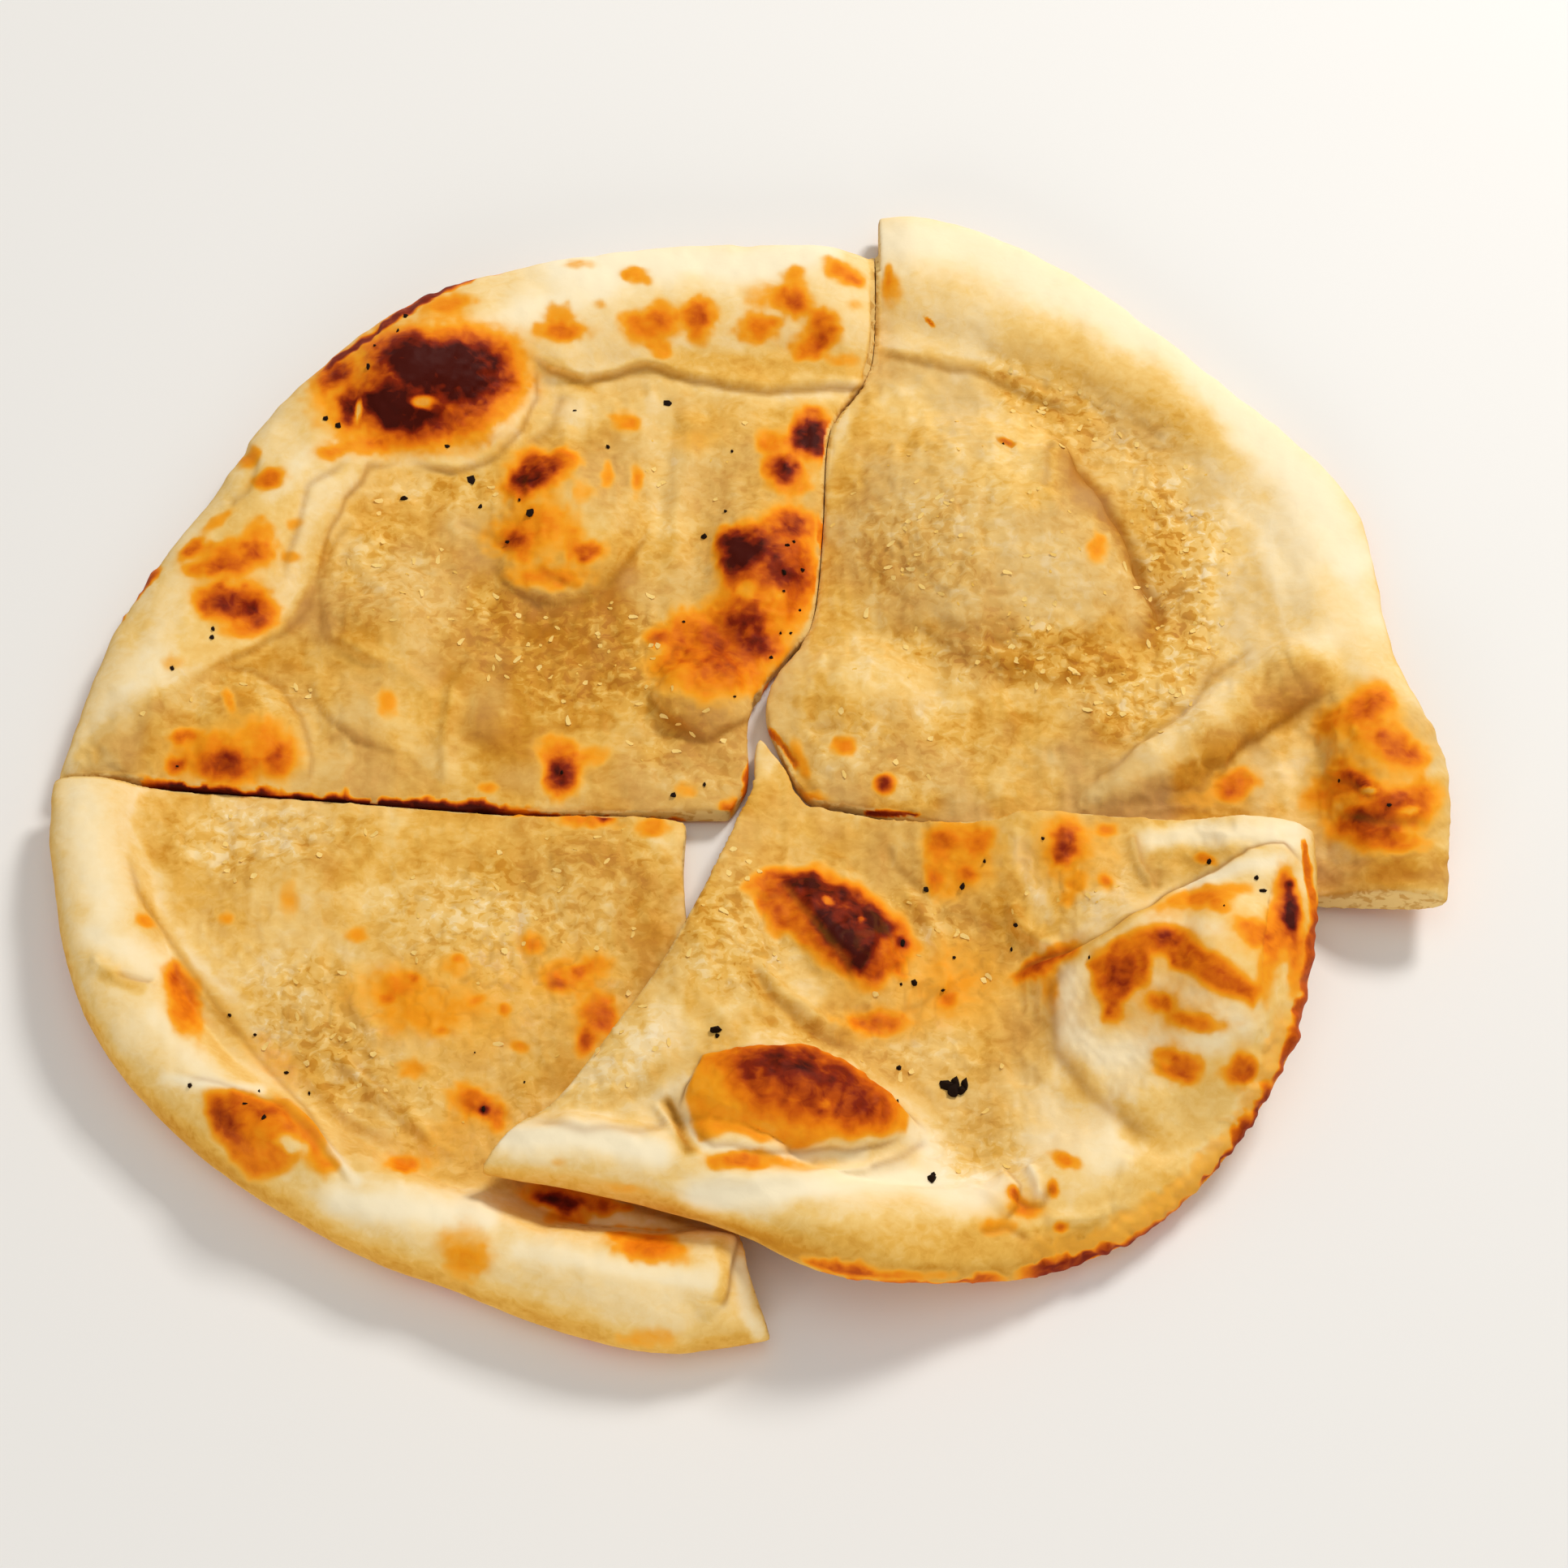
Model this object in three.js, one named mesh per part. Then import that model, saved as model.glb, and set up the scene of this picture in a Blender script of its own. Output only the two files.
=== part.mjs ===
// A round tandoori roti, cut crosswise into four quarters that still lie as the whole.
// Each quarter is one solid: a thin baked sheet with a puffed roll along its outer edge and
// domed blisters where steam lifted the dough. The front right quarter was pushed a little
// way onto its two neighbours, so it is lifted along those two sides.
// Millimetres, +Z up. The origin is on the table, under the middle of the four quarters.
// +X runs to the right and +Y towards the back.

import * as THREE from "three";

// Driving dimensions.
const SHEET_THICKNESS = 5;
const EDGE_HEIGHT = 4; // of the outermost line of the roll above the underside
const EDGE_BAND = 1.4; // thickness left at that outermost line
const EDGE_UNDERCUT = 7; // how far in the underside of the roll curves up to that line
const CREASE_SOFTNESS = 0.8; // rounding where the roll meets the sheet
const CUT_PINCH = 0.2; // share of the thickness that the knife pressed down along a cut
const CUT_PINCH_WIDTH = 5;
const SWELL_HEIGHT = 0.5; // of the slow unevenness of the whole top
const SWELL_LENGTH = 8;

// Fineness of the facets.
const ROWS = 32; // steps from a quarter's corner to its rim
const ROW_CROWDING = 1.35; // above 1, the steps shorten towards the rim
const RIM_POINTS = 46; // steps along the rim
const CUT_CROWDING = 0.4; // from 0, even steps, to 1, steps that shorten to nothing at the cuts
const UNDER_FINENESS = 0.4; // of the underside against the top
const RIM_SAMPLES = 48; // of the edge lines that distances are measured to

// The baked dough is the same all over, apart from how much it has browned.
const BAKED_DOUGH = { roughness: 0.65, metalness: 0 };

// The four quarters. Every place is [x, y].
//   colour  its mean colour
//   corner  the inner corner, near the middle of the roti
//   rim     [bearing in degrees, reach from the corner] along the outer edge, anticlockwise
//   cutOut  the cut from the corner to the rim's first point, and cutBack the one to its last:
//           [share of the way out, sideways step to the left] where the knife wandered
//   roll    [width, height] of the puffed roll at even steps along the rim
//   domes   blisters and, with a negative height, dips: size is [along, across], turned by turn
//   folds   raised pleats of the sheet
//   lifts   sides that are off the table: rise is reached at the end of the way from -> to
const QUARTERS = [
  {
    name: "quarter_back_left",
    colour: 0xe0b478,
    corner: [-3.5, -16],
    rim: [
      [77.9, 119], [84, 119], [98, 118.5], [115, 120], [128, 117], [143, 110.5], [161, 110], [177, 111.5],
    ],
    cutOut: [
      [0.05, -2.1], [0.13, 0.5], [0.19, 1.1], [0.25, -1.8], [0.33, -5.2], [0.46, -3.8],
      [0.62, -0.4], [0.68, 0], [0.75, -3], [0.81, -4.2], [0.9, -2.4],
    ],
    cutBack: [[0.35, 1.6], [0.6, 1]],
    roll: [[28, 11], [28, 11], [28, 12], [28, 13], [26, 12], [23, 11], [20, 9]],
    domes: [
      { at: [-56, 66], size: [15, 15], turn: 0, height: 4 },
      { at: [-33, 40], size: [13, 16], turn: 0, height: 3.5 },
      { at: [-9, 6], size: [10, 10], turn: 0, height: 3 },
      { at: [1, 30], size: [9, 18], turn: 0, height: 3 },
      { at: [-63, 20], size: [13, 10], turn: 0, height: 2.5 },
      { at: [-88, -3], size: [14, 11], turn: 0, height: 3 },
      { at: [-62, 1], size: [10, 9], turn: 0, height: 2 },
    ],
    folds: [],
    lifts: [],
  },
  {
    name: "quarter_back_right",
    colour: 0xe4c48a,
    corner: [8, -12],
    rim: [
      [-12.5, 106.5], [1.7, 106.5], [15.3, 104.2], [31.2, 112.5],
      [50, 112.7], [63.6, 118], [75, 122.4], [83, 122.6],
    ],
    cutOut: [[0.02, -1.6], [0.07, -0.9], [0.13, -0.7], [0.47, -1.6], [0.79, -1.8]],
    cutBack: [
      [0.06, 4.1], [0.12, 7.9], [0.16, 7.2], [0.22, 3], [0.27, 1.1], [0.43, 1.7],
      [0.58, 2.9], [0.64, 1.3], [0.7, -2.3], [0.77, -3],
    ],
    roll: [[20, 9], [20, 10], [18, 8], [18, 8], [21, 9], [27, 10], [29, 11]],
    domes: [
      { at: [41, 36], size: [29, 25], turn: -67, height: 7 },
      { at: [18, 6], size: [13, 10], turn: 0, height: 3 },
      { at: [102, -13], size: [11, 16], turn: 0, height: 3 },
    ],
    folds: [{ from: [56, -17], to: [93, 7.5], width: 6, height: 3.5 }],
    lifts: [{ from: [90, -20], to: [113, -34], rise: 4 }],
  },
  {
    name: "quarter_front_left",
    colour: 0xdeb570,
    corner: [-10.5, -18.2],
    rim: [
      [176.6, 104.5], [186, 103], [202, 101], [219, 95], [236, 90],
      [248, 88], [259, 89.5], [269, 91], [279, 90],
    ],
    cutOut: [[0.12, -0.7], [0.3, 0.3], [0.7, -0.8]],
    cutBack: [[0.2, -2.5], [0.8, -2.5]],
    roll: [[16, 8], [16, 11], [15, 12], [15, 12], [16, 12], [18, 12], [20, 11]],
    domes: [
      { at: [-73, -76], size: [14, 10], turn: -40, height: 2 },
      { at: [-16, -98], size: [18, 9], turn: -5, height: 2 },
      { at: [-29, -86], size: [10, 7], turn: 0, height: -3 },
      { at: [-45, -45], size: [20, 14], turn: 0, height: 1.2 },
      { at: [-76, -32], size: [14, 10], turn: 0, height: 1.5 },
    ],
    folds: [],
    lifts: [{ from: [-86, -45], to: [-114, -45], rise: 3 }],
  },
  {
    name: "quarter_front_right",
    colour: 0xe2b97c,
    corner: [1.3, -1.8],
    rim: [
      [243, 92], [251.3, 89.2], [260, 89], [268.5, 91.7], [277, 99.3],
      [289.6, 103.2], [304, 106.4], [320.4, 104.2], [334, 98], [346, 92.6],
    ],
    cutOut: [
      [0.02, -0.1], [0.045, 1.4], [0.077, 3.3], [0.115, 4.1], [0.155, 4.4], [0.33, 6.7], [0.52, 7.5],
      [0.79, 4.9], [0.92, 1.3],
    ],
    cutBack: [
      [0.016, -0.5], [0.055, -4.4], [0.077, -6.9], [0.095, -10], [0.12, -11], [0.18, -10.3],
      [0.27, -10.5], [0.43, -9.7], [0.56, -6.3], [0.83, -1.8],
    ],
    roll: [[12, 9], [14, 10], [15, 11], [17, 11], [20, 10], [20, 9], [22, 11], [20, 9]],
    domes: [
      { at: [6.5, -73], size: [20, 11], turn: 0, height: 6 },
      { at: [65, -56], size: [23, 20], turn: 30, height: 8 },
      { at: [15, -40], size: [17, 10], turn: -48, height: 3.5 },
      { at: [51, -77], size: [17, 12], turn: 0, height: 2.5 },
    ],
    folds: [],
    lifts: [
      { from: [20, -40], to: [-7, -53], rise: 8.5 },
      { from: [43, -50], to: [60, -36], rise: 7.5 },
    ],
  },
];

const { smoothstep, degToRad, lerp } = THREE.MathUtils;

function pointAt([cornerX, cornerY], bearing, reach) {
  const angle = degToRad(bearing);
  return new THREE.Vector2(cornerX + reach * Math.cos(angle), cornerY + reach * Math.sin(angle));
}

// A knife cut from a to b that wanders sideways at the given shares of the way.
function cutCurve(a, b, wander) {
  const along = b.clone().sub(a);
  const left = new THREE.Vector2(-along.y, along.x).normalize();
  const steps = wander.map(([share, step]) => {
    return a.clone().addScaledVector(along, share).addScaledVector(left, step);
  });
  return new THREE.SplineCurve([a, ...steps, b]);
}

// The three sides of a quarter: both cuts start at its corner, and the rim runs anticlockwise.
function sidesOf({ corner, rim, cutOut, cutBack }) {
  const inner = new THREE.Vector2(...corner);
  const outer = rim.map(([bearing, reach]) => pointAt(corner, bearing, reach));
  return {
    cutOut: cutCurve(inner, outer[0], cutOut),
    rim: new THREE.SplineCurve(outer),
    cutBack: cutCurve(inner, outer.at(-1), cutBack),
  };
}

// Distance from a point to a chain of points, and how far along the chain the nearest place is.
function nearestOn(chain, point) {
  let best = { distance: Infinity, along: 0 };
  for (let i = 0; i + 1 < chain.length; i++) {
    const step = chain[i + 1].clone().sub(chain[i]);
    const share = THREE.MathUtils.clamp(point.clone().sub(chain[i]).dot(step) / step.lengthSq(), 0, 1);
    const distance = point.distanceTo(chain[i].clone().addScaledVector(step, share));
    if (distance < best.distance) best = { distance, along: (i + share) / (chain.length - 1) };
  }
  return best;
}

// A value between even stations along the rim.
function between(stations, along) {
  const place = along * (stations.length - 1);
  const before = Math.min(Math.floor(place), stations.length - 2);
  return stations[before].map((value, k) => lerp(value, stations[before + 1][k], place - before));
}

function softMax(a, b) {
  return (a + b + Math.hypot(a - b, CREASE_SOFTNESS)) / 2;
}

// Height of a quarter circle from 0 at its edge to 1 at its top.
function quarterRound(share) {
  return Math.sqrt(1 - (1 - THREE.MathUtils.clamp(share, 0, 1)) ** 2);
}

// The roll in section: a flattened tube whose outer side starts at the edge line.
function rollHeight(distance, width, height) {
  const half = width / 2;
  const edgeTop = EDGE_HEIGHT + EDGE_BAND / 2;
  if (distance < half) return lerp(edgeTop, height, quarterRound(distance / half));
  return height * quarterRound((width - distance) / half);
}

function domeHeight({ at, size, turn, height }, point) {
  const middle = new THREE.Vector2(...at);
  const local = point.clone().rotateAround(middle, -degToRad(turn)).sub(middle);
  return height * Math.max(0, 1 - (local.x / size[0]) ** 2 - (local.y / size[1]) ** 2);
}

function foldHeight({ from, to, width, height }, point) {
  const { distance } = nearestOn([new THREE.Vector2(...from), new THREE.Vector2(...to)], point);
  return height * Math.max(0, 1 - (distance / width) ** 2);
}

function liftHeight({ from, to, rise }, point) {
  const start = new THREE.Vector2(...from);
  const way = new THREE.Vector2(...to).sub(start);
  return rise * smoothstep(point.clone().sub(start).dot(way) / way.lengthSq(), 0, 1);
}

function swell({ x, y }) {
  return SWELL_HEIGHT * Math.sin(x / SWELL_LENGTH + Math.sin(y / SWELL_LENGTH)) * Math.cos(y / SWELL_LENGTH);
}

// The heights of a quarter's top and underside over any place in plan.
function surfacesOf(quarter, sides) {
  const rim = sides.rim.getSpacedPoints(RIM_SAMPLES);
  const cuts = [sides.cutOut, sides.cutBack].map((curve) => curve.getSpacedPoints(RIM_SAMPLES));
  const total = (list, heightOf, point) => list.reduce((sum, item) => sum + heightOf(item, point), 0);

  const under = (point) => {
    const { distance } = nearestOn(rim, point);
    const undercut = (EDGE_HEIGHT - EDGE_BAND / 2) * (1 - quarterRound(distance / EDGE_UNDERCUT));
    return total(quarter.lifts, liftHeight, point) + undercut;
  };

  const top = (point) => {
    const { distance, along } = nearestOn(rim, point);
    const [width, height] = between(quarter.roll, along);
    const inside = smoothstep(distance, 0, EDGE_UNDERCUT);
    const dough = softMax(SHEET_THICKNESS * inside, rollHeight(distance, width, height));
    const raised = total(quarter.domes, domeHeight, point) + total(quarter.folds, foldHeight, point);
    const cutDistance = Math.min(...cuts.map((cut) => nearestOn(cut, point).distance));
    const pinch = 1 - CUT_PINCH * (1 - smoothstep(cutDistance, 0, CUT_PINCH_WIDTH));
    const thickness = (dough + (raised + swell(point)) * inside) * pinch;
    return total(quarter.lifts, liftHeight, point) + thickness;
  };

  return { top, under };
}

// A place inside a quarter: side runs from 0 on the first cut to 1 on the last,
// and out from 0 at the corner to 1 on the rim.
function placeIn(sides, side, out) {
  const straight = sides.rim.getPointAt(0).lerp(sides.rim.getPointAt(1), side);
  const bulge = sides.rim.getPointAt(side).sub(straight);
  return sides.cutOut.getPointAt(out).lerp(sides.cutBack.getPointAt(out), side).addScaledVector(bulge, out);
}

// One face of a quarter as rows of points, one row for each step from the corner out to the rim.
// The rows crowd towards the rim and a row's points towards the two cuts, where the form bends most.
function faceRows(sides, fineness, heightOf) {
  return Array.from({ length: ROWS + 1 }, (_, row) => {
    const out = 1 - (1 - row / ROWS) ** ROW_CROWDING;
    const share = row === ROWS ? 1 : fineness * out;
    const count = row === 0 ? 0 : Math.max(1, Math.round(RIM_POINTS * share));
    return Array.from({ length: count + 1 }, (_, i) => {
      const even = i / Math.max(1, count);
      const side = lerp(even, (1 - Math.cos(Math.PI * even)) / 2, CUT_CROWDING);
      const place = placeIn(sides, side, out);
      return new THREE.Vector3(place.x, place.y, heightOf(place));
    });
  });
}

// Numbers the points of some rows, first to last, starting from a given number.
function numberRows(rows, first) {
  let next = first;
  return rows.map((row) => row.map(() => next++));
}

// Triangles between numbered rows of unlike length, anticlockwise from above.
function rowTriangles(rows) {
  const triangles = [];
  for (let r = 0; r + 1 < rows.length; r++) {
    const [inner, outer] = [rows[r], rows[r + 1]];
    let [i, j] = [0, 0];
    while (i + 1 < inner.length || j + 1 < outer.length) {
      const outerNext = (j + 1) / (outer.length - 1);
      const innerNext = inner.length > 1 ? (i + 1) / (inner.length - 1) : Infinity;
      if (outerNext <= innerNext) {
        triangles.push([inner[i], outer[j], outer[j + 1]]);
        j++;
      } else {
        triangles.push([inner[i], outer[j], inner[i + 1]]);
        i++;
      }
    }
  }
  return triangles;
}

// The numbers round the edge of a face, anticlockwise: out along one cut, round the rim and back.
function edgeLoop(rows) {
  const firstCut = rows.slice(0, -1).map((row) => row[0]);
  const lastCut = rows.slice(1, -1).map((row) => row.at(-1)).reverse();
  return [...firstCut, ...rows.at(-1), ...lastCut];
}

function quarterGeometry(quarter) {
  const sides = sidesOf(quarter);
  const { top, under } = surfacesOf(quarter, sides);
  const topPoints = faceRows(sides, 1, top);
  const underPoints = faceRows(sides, UNDER_FINENESS, under);
  const topRows = numberRows(topPoints, 0);
  const underRows = numberRows(underPoints, topPoints.flat().length);

  const triangles = rowTriangles(topRows);
  rowTriangles(underRows).forEach(([a, b, c]) => triangles.push([a, c, b]));
  const topLoop = edgeLoop(topRows);
  const underLoop = edgeLoop(underRows);
  topLoop.forEach((here, i) => {
    const next = (i + 1) % topLoop.length;
    triangles.push([here, underLoop[i], underLoop[next]], [here, underLoop[next], topLoop[next]]);
  });

  const geometry = new THREE.BufferGeometry().setFromPoints([...topPoints.flat(), ...underPoints.flat()]);
  geometry.setIndex(triangles.flat());
  geometry.computeVertexNormals();
  return geometry;
}

const roti = new THREE.Group();
for (const quarter of QUARTERS) {
  const material = new THREE.MeshStandardMaterial({ color: quarter.colour, ...BAKED_DOUGH });
  const mesh = new THREE.Mesh(quarterGeometry(quarter), material);
  mesh.name = quarter.name;
  roti.add(mesh);
}

// The frame's origin goes under the middle of the whole, on the table.
const whole = new THREE.Box3().setFromObject(roti);
const middle = whole.getCenter(new THREE.Vector3());
roti.position.set(-middle.x, -middle.y, -whole.min.z);

export default roti;
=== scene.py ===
# A round tandoori roti, cut crosswise into four quarters that still lie as the whole: puffed
# wheat dough, pale on the rim, buttery inside and scorched where it met the oven's heat.
# Everything is in metres, in the frame of the part's solids.

import math

import bmesh
import bpy
import numpy as np
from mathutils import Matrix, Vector
from mathutils.bvhtree import BVHTree


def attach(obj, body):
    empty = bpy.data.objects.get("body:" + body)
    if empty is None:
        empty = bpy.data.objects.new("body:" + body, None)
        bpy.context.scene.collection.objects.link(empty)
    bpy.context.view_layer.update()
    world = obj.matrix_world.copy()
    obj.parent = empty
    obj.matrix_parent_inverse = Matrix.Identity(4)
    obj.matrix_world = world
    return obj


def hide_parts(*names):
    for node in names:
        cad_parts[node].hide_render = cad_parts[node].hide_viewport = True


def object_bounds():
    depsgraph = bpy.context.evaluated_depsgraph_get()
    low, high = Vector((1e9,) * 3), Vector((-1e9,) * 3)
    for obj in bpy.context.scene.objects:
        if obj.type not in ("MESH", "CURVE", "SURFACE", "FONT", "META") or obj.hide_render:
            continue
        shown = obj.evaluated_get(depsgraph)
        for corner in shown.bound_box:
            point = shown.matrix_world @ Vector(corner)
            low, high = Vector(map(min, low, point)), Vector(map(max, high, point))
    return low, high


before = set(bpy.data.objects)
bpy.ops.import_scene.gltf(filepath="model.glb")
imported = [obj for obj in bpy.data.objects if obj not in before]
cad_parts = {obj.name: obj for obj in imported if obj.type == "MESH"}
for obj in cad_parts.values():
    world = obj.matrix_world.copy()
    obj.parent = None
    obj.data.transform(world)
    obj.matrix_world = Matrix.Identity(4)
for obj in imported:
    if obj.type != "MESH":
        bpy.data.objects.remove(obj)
cad_low, cad_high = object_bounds()

# The camera: it looks down on the bread from half a metre away, as someone at the table does.
# Places on the bread are given in the pixels of its square picture, x to the right and y down.
PICTURE_SIDE = 1932
CAMERA_ELEVATION = math.radians(60)
CAMERA_DISTANCE = 0.52
PICTURE_WIDTH = 0.262
CAMERA_AIM = Vector((0.0057, -0.0088, 0.0))
SENSOR_WIDTH = 36.0

look = Vector((0, math.cos(CAMERA_ELEVATION), -math.sin(CAMERA_ELEVATION)))
picture_right = Vector((1, 0, 0))
picture_up = picture_right.cross(look)
eye = CAMERA_AIM - look * CAMERA_DISTANCE
FOCAL_PIXELS = PICTURE_SIDE * CAMERA_DISTANCE / PICTURE_WIDTH


def add_object(name, data):
    """A new object in the scene."""
    thing = bpy.data.objects.new(name, data)
    bpy.context.scene.collection.objects.link(thing)
    return thing


camera_data = bpy.data.cameras.new("camera")
camera_data.sensor_width = SENSOR_WIDTH
camera_data.lens = SENSOR_WIDTH * CAMERA_DISTANCE / PICTURE_WIDTH
camera = add_object("camera", camera_data)
camera.location = eye
camera.rotation_euler = look.to_track_quat("-Z", "Y").to_euler()
bpy.context.scene.camera = camera


def picture_places(points):
    """Where points of the bread come out in the picture."""
    from_eye = points - np.array(eye)
    depth = from_eye @ np.array(look)
    x = PICTURE_SIDE / 2 + FOCAL_PIXELS * (from_eye @ np.array(picture_right)) / depth
    y = PICTURE_SIDE / 2 - FOCAL_PIXELS * (from_eye @ np.array(picture_up)) / depth
    return x, y


# The back left quarter: puffed wheat dough from the oven's wall, with a charred blister on its
# wide rim and scorched bubbles in the buttery sheet. It was cut from the others and lies loose.
# All four are the same dough, so what shapes and colours the dough is written here.
MILLIMETRE = 0.001
DRIFT_CELLS = 97


def smooth(low, high, value):
    """0 below low, 1 above high and a soft step between; low may be the larger one."""
    share = np.clip((value - low) / (high - low), 0, 1)
    return share * share * (3 - 2 * share)


def drift(x, y, grain, seed):
    """Smooth chance unevenness from -1 to 1, in lumps of about grain pixels."""
    cells = np.random.default_rng(seed).uniform(-1, 1, (DRIFT_CELLS, DRIFT_CELLS))
    column, row = x / grain, y / grain
    left, low = np.floor(column).astype(int), np.floor(row).astype(int)
    across, along = smooth(0, 1, column - left), smooth(0, 1, row - low)

    def cell(i, j):
        return cells[(left + i) % DRIFT_CELLS, (low + j) % DRIFT_CELLS]

    near = cell(0, 0) * (1 - across) + cell(1, 0) * across
    far = cell(0, 1) * (1 - across) + cell(1, 1) * across
    return near * (1 - along) + far * along


def layered(x, y, seed, layers, start=0.0):
    """Chance unevenness added to a start. A layer is (grain in pixels, height, seed step)."""
    total = start
    for grain, height, step in layers:
        total = total + height * drift(x, y, grain, seed + step)
    return total


LEAST_COARSE_GRAIN = 10
COARSE_GRAIN_SHARE = 0.6
COARSE_RAGGED, FINE_RAGGED = 0.65, 0.35
FINE_GRAIN = 7


def spot(x, y, mark, ragged, seed):
    """Distance from the middle of an oval mark with a ragged outline, about 1 on that outline."""
    mark_x, mark_y, half_length, half_breadth, degrees, _ = mark
    turn = math.radians(degrees)
    dx, dy = x - mark_x, y - mark_y
    length = (dx * math.cos(turn) + dy * math.sin(turn)) / half_length
    breadth = (dy * math.cos(turn) - dx * math.sin(turn)) / half_breadth
    grain = max(LEAST_COARSE_GRAIN, COARSE_GRAIN_SHARE * min(half_length, half_breadth))
    coarse, fine = drift(x, y, grain, seed), drift(x, y, FINE_GRAIN, seed + 1)
    return np.hypot(length, breadth) + ragged * (COARSE_RAGGED * coarse + FINE_RAGGED * fine)


def spots(x, y, marks, edge, ragged, seed):
    """Each oval mark's share at every point, fading over its edge, and the mark's strength."""
    for i, mark in enumerate(marks):
        yield smooth(*edge, spot(x, y, mark, ragged, seed + i)), mark[-1]


LINE_END = 0.15


def along_line(x, y, line):
    """Distance from a line of picture places, the side of it, and a fade towards its two ends."""
    best = np.full(len(x), np.inf)
    side = np.zeros(len(x))
    share = np.zeros(len(x))
    for i, ((ax, ay), (bx, by)) in enumerate(zip(line, line[1:])):
        sx, sy = bx - ax, by - ay
        t = np.clip(((x - ax) * sx + (y - ay) * sy) / (sx * sx + sy * sy), 0, 1)
        distance = np.hypot(x - ax - t * sx, y - ay - t * sy)
        nearer = distance < best
        best = np.where(nearer, distance, best)
        side = np.where(nearer, np.sign(sx * (y - ay) - sy * (x - ax)), side)
        share = np.where(nearer, (i + t) / (len(line) - 1), share)
    return best, side, smooth(0, LINE_END, share) * smooth(1, 1 - LINE_END, share)


def hump(distance, width):
    """1 on a line, fading away from it over about a width."""
    return np.exp(-((distance / width) ** 2))


def inside_outline(x, y, outline, softness):
    """1 inside a closed outline of picture places, 0 outside, with a soft edge."""
    closed = outline + outline[:1]
    inside = np.zeros(len(x), bool)
    for (ax, ay), (bx, by) in zip(closed, closed[1:]):
        if ay != by:
            crossing = (ay > y) != (by > y)
            inside ^= crossing & (x < (bx - ax) * (y - ay) / (by - ay) + ax)
    distance, _, _ = along_line(x, y, closed)
    return smooth(-softness, softness, np.where(inside, distance, -distance))


def settle(piece):
    """Turns a piece's modifiers into its plain mesh."""
    evaluated = piece.evaluated_get(bpy.context.evaluated_depsgraph_get())
    mesh = bpy.data.meshes.new_from_object(evaluated)
    piece.modifiers.clear()
    piece.data = mesh
    mesh.name = piece.name


SAME_POINT = 1e-6
ROUNDING_LEVELS = 2
EASING_FACTOR = 0.5
EASING_STEPS = 5
EDGE_FOLD = 0.7
EDGE_HOLD = 0.55


def fine_copy(node, name, facet):
    """A quarter's solid with its smooth sides rounded, its cut edges held and small even facets."""
    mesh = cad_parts[node].data.copy()
    mesh.materials.clear()
    shell = bmesh.new()
    shell.from_mesh(mesh)
    bmesh.ops.remove_doubles(shell, verts=shell.verts, dist=SAME_POINT)
    hold = shell.edges.layers.float.new("crease_edge")
    for edge in shell.edges:
        edge[hold] = EDGE_HOLD if edge.calc_face_angle(0) > EDGE_FOLD else 0.0
    shell.to_mesh(mesh)
    shell.free()
    piece = add_object(name, mesh)
    rounding = piece.modifiers.new("rounding", "SUBSURF")
    rounding.levels = rounding.render_levels = ROUNDING_LEVELS
    evening = piece.modifiers.new("evening", "REMESH")
    evening.mode = "VOXEL"
    evening.voxel_size = facet
    evening.use_smooth_shade = True
    easing = piece.modifiers.new("easing", "SMOOTH")
    easing.factor = EASING_FACTOR
    easing.iterations = EASING_STEPS
    settle(piece)
    return piece


def vertex_values(mesh, key):
    """The places or normals of a mesh's points, one row for each."""
    values = np.zeros(len(mesh.vertices) * 3, np.float32)
    mesh.vertices.foreach_get(key, values)
    return values.reshape(-1, 3).astype(float)


def store(mesh, name, values):
    """Keeps a value for each point of a mesh, for its material and the flakes."""
    attribute = mesh.attributes.new(name, "FLOAT", "POINT")
    attribute.data.foreach_set("value", values.astype(np.float32))


WIDEST_GAP = 2.4
FADING_GAP = 0.7 * WIDEST_GAP
LEAST_GAP = 0.05
CUT_FACING = (0.78, 0.92)


def room_beside(points, outward, neighbour):
    """How many millimetres points can swell before they come near the quarter beside them."""
    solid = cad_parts[neighbour].data
    corners = vertex_values(solid, "co").tolist()
    wall = BVHTree.FromPolygons(corners, [list(face.vertices) for face in solid.polygons])
    room = np.zeros(len(points))
    for i, point in enumerate(points):
        _, _, _, gap = wall.ray_cast(Vector(point), outward, WIDEST_GAP * MILLIMETRE)
        if gap is not None:
            gap = gap / MILLIMETRE
            room[i] = max(0.0, gap / 2 - LEAST_GAP) * smooth(WIDEST_GAP, FADING_GAP, gap)
    return room


def cut_faces(points, normals, cuts):
    """How far each point belongs to a cut face, and how many millimetres that face swells."""
    cut, swell = np.zeros(len(points)), np.zeros(len(points))
    for cut_x, cut_y, amount, neighbour in cuts:
        facing = smooth(*CUT_FACING, normals[:, 0] * cut_x + normals[:, 1] * cut_y)
        room = amount * facing
        if neighbour:
            chosen = np.flatnonzero(facing)
            outward = Vector((cut_x, cut_y, 0))
            room[chosen] = facing[chosen] * room_beside(points[chosen], outward, neighbour)
        cut, swell = np.maximum(cut, facing), np.maximum(swell, room)
    return cut, swell


FOOT_PLACE, FOOT_WIDTH = 0.5, 0.6
TROUGH_WIDTH = 3
GROOVE_SHARE = 0.5
LEAST_SHADE = 0.2
LEDGE_SHADE, CREASE_SHADE = 0.4, 0.5


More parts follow.
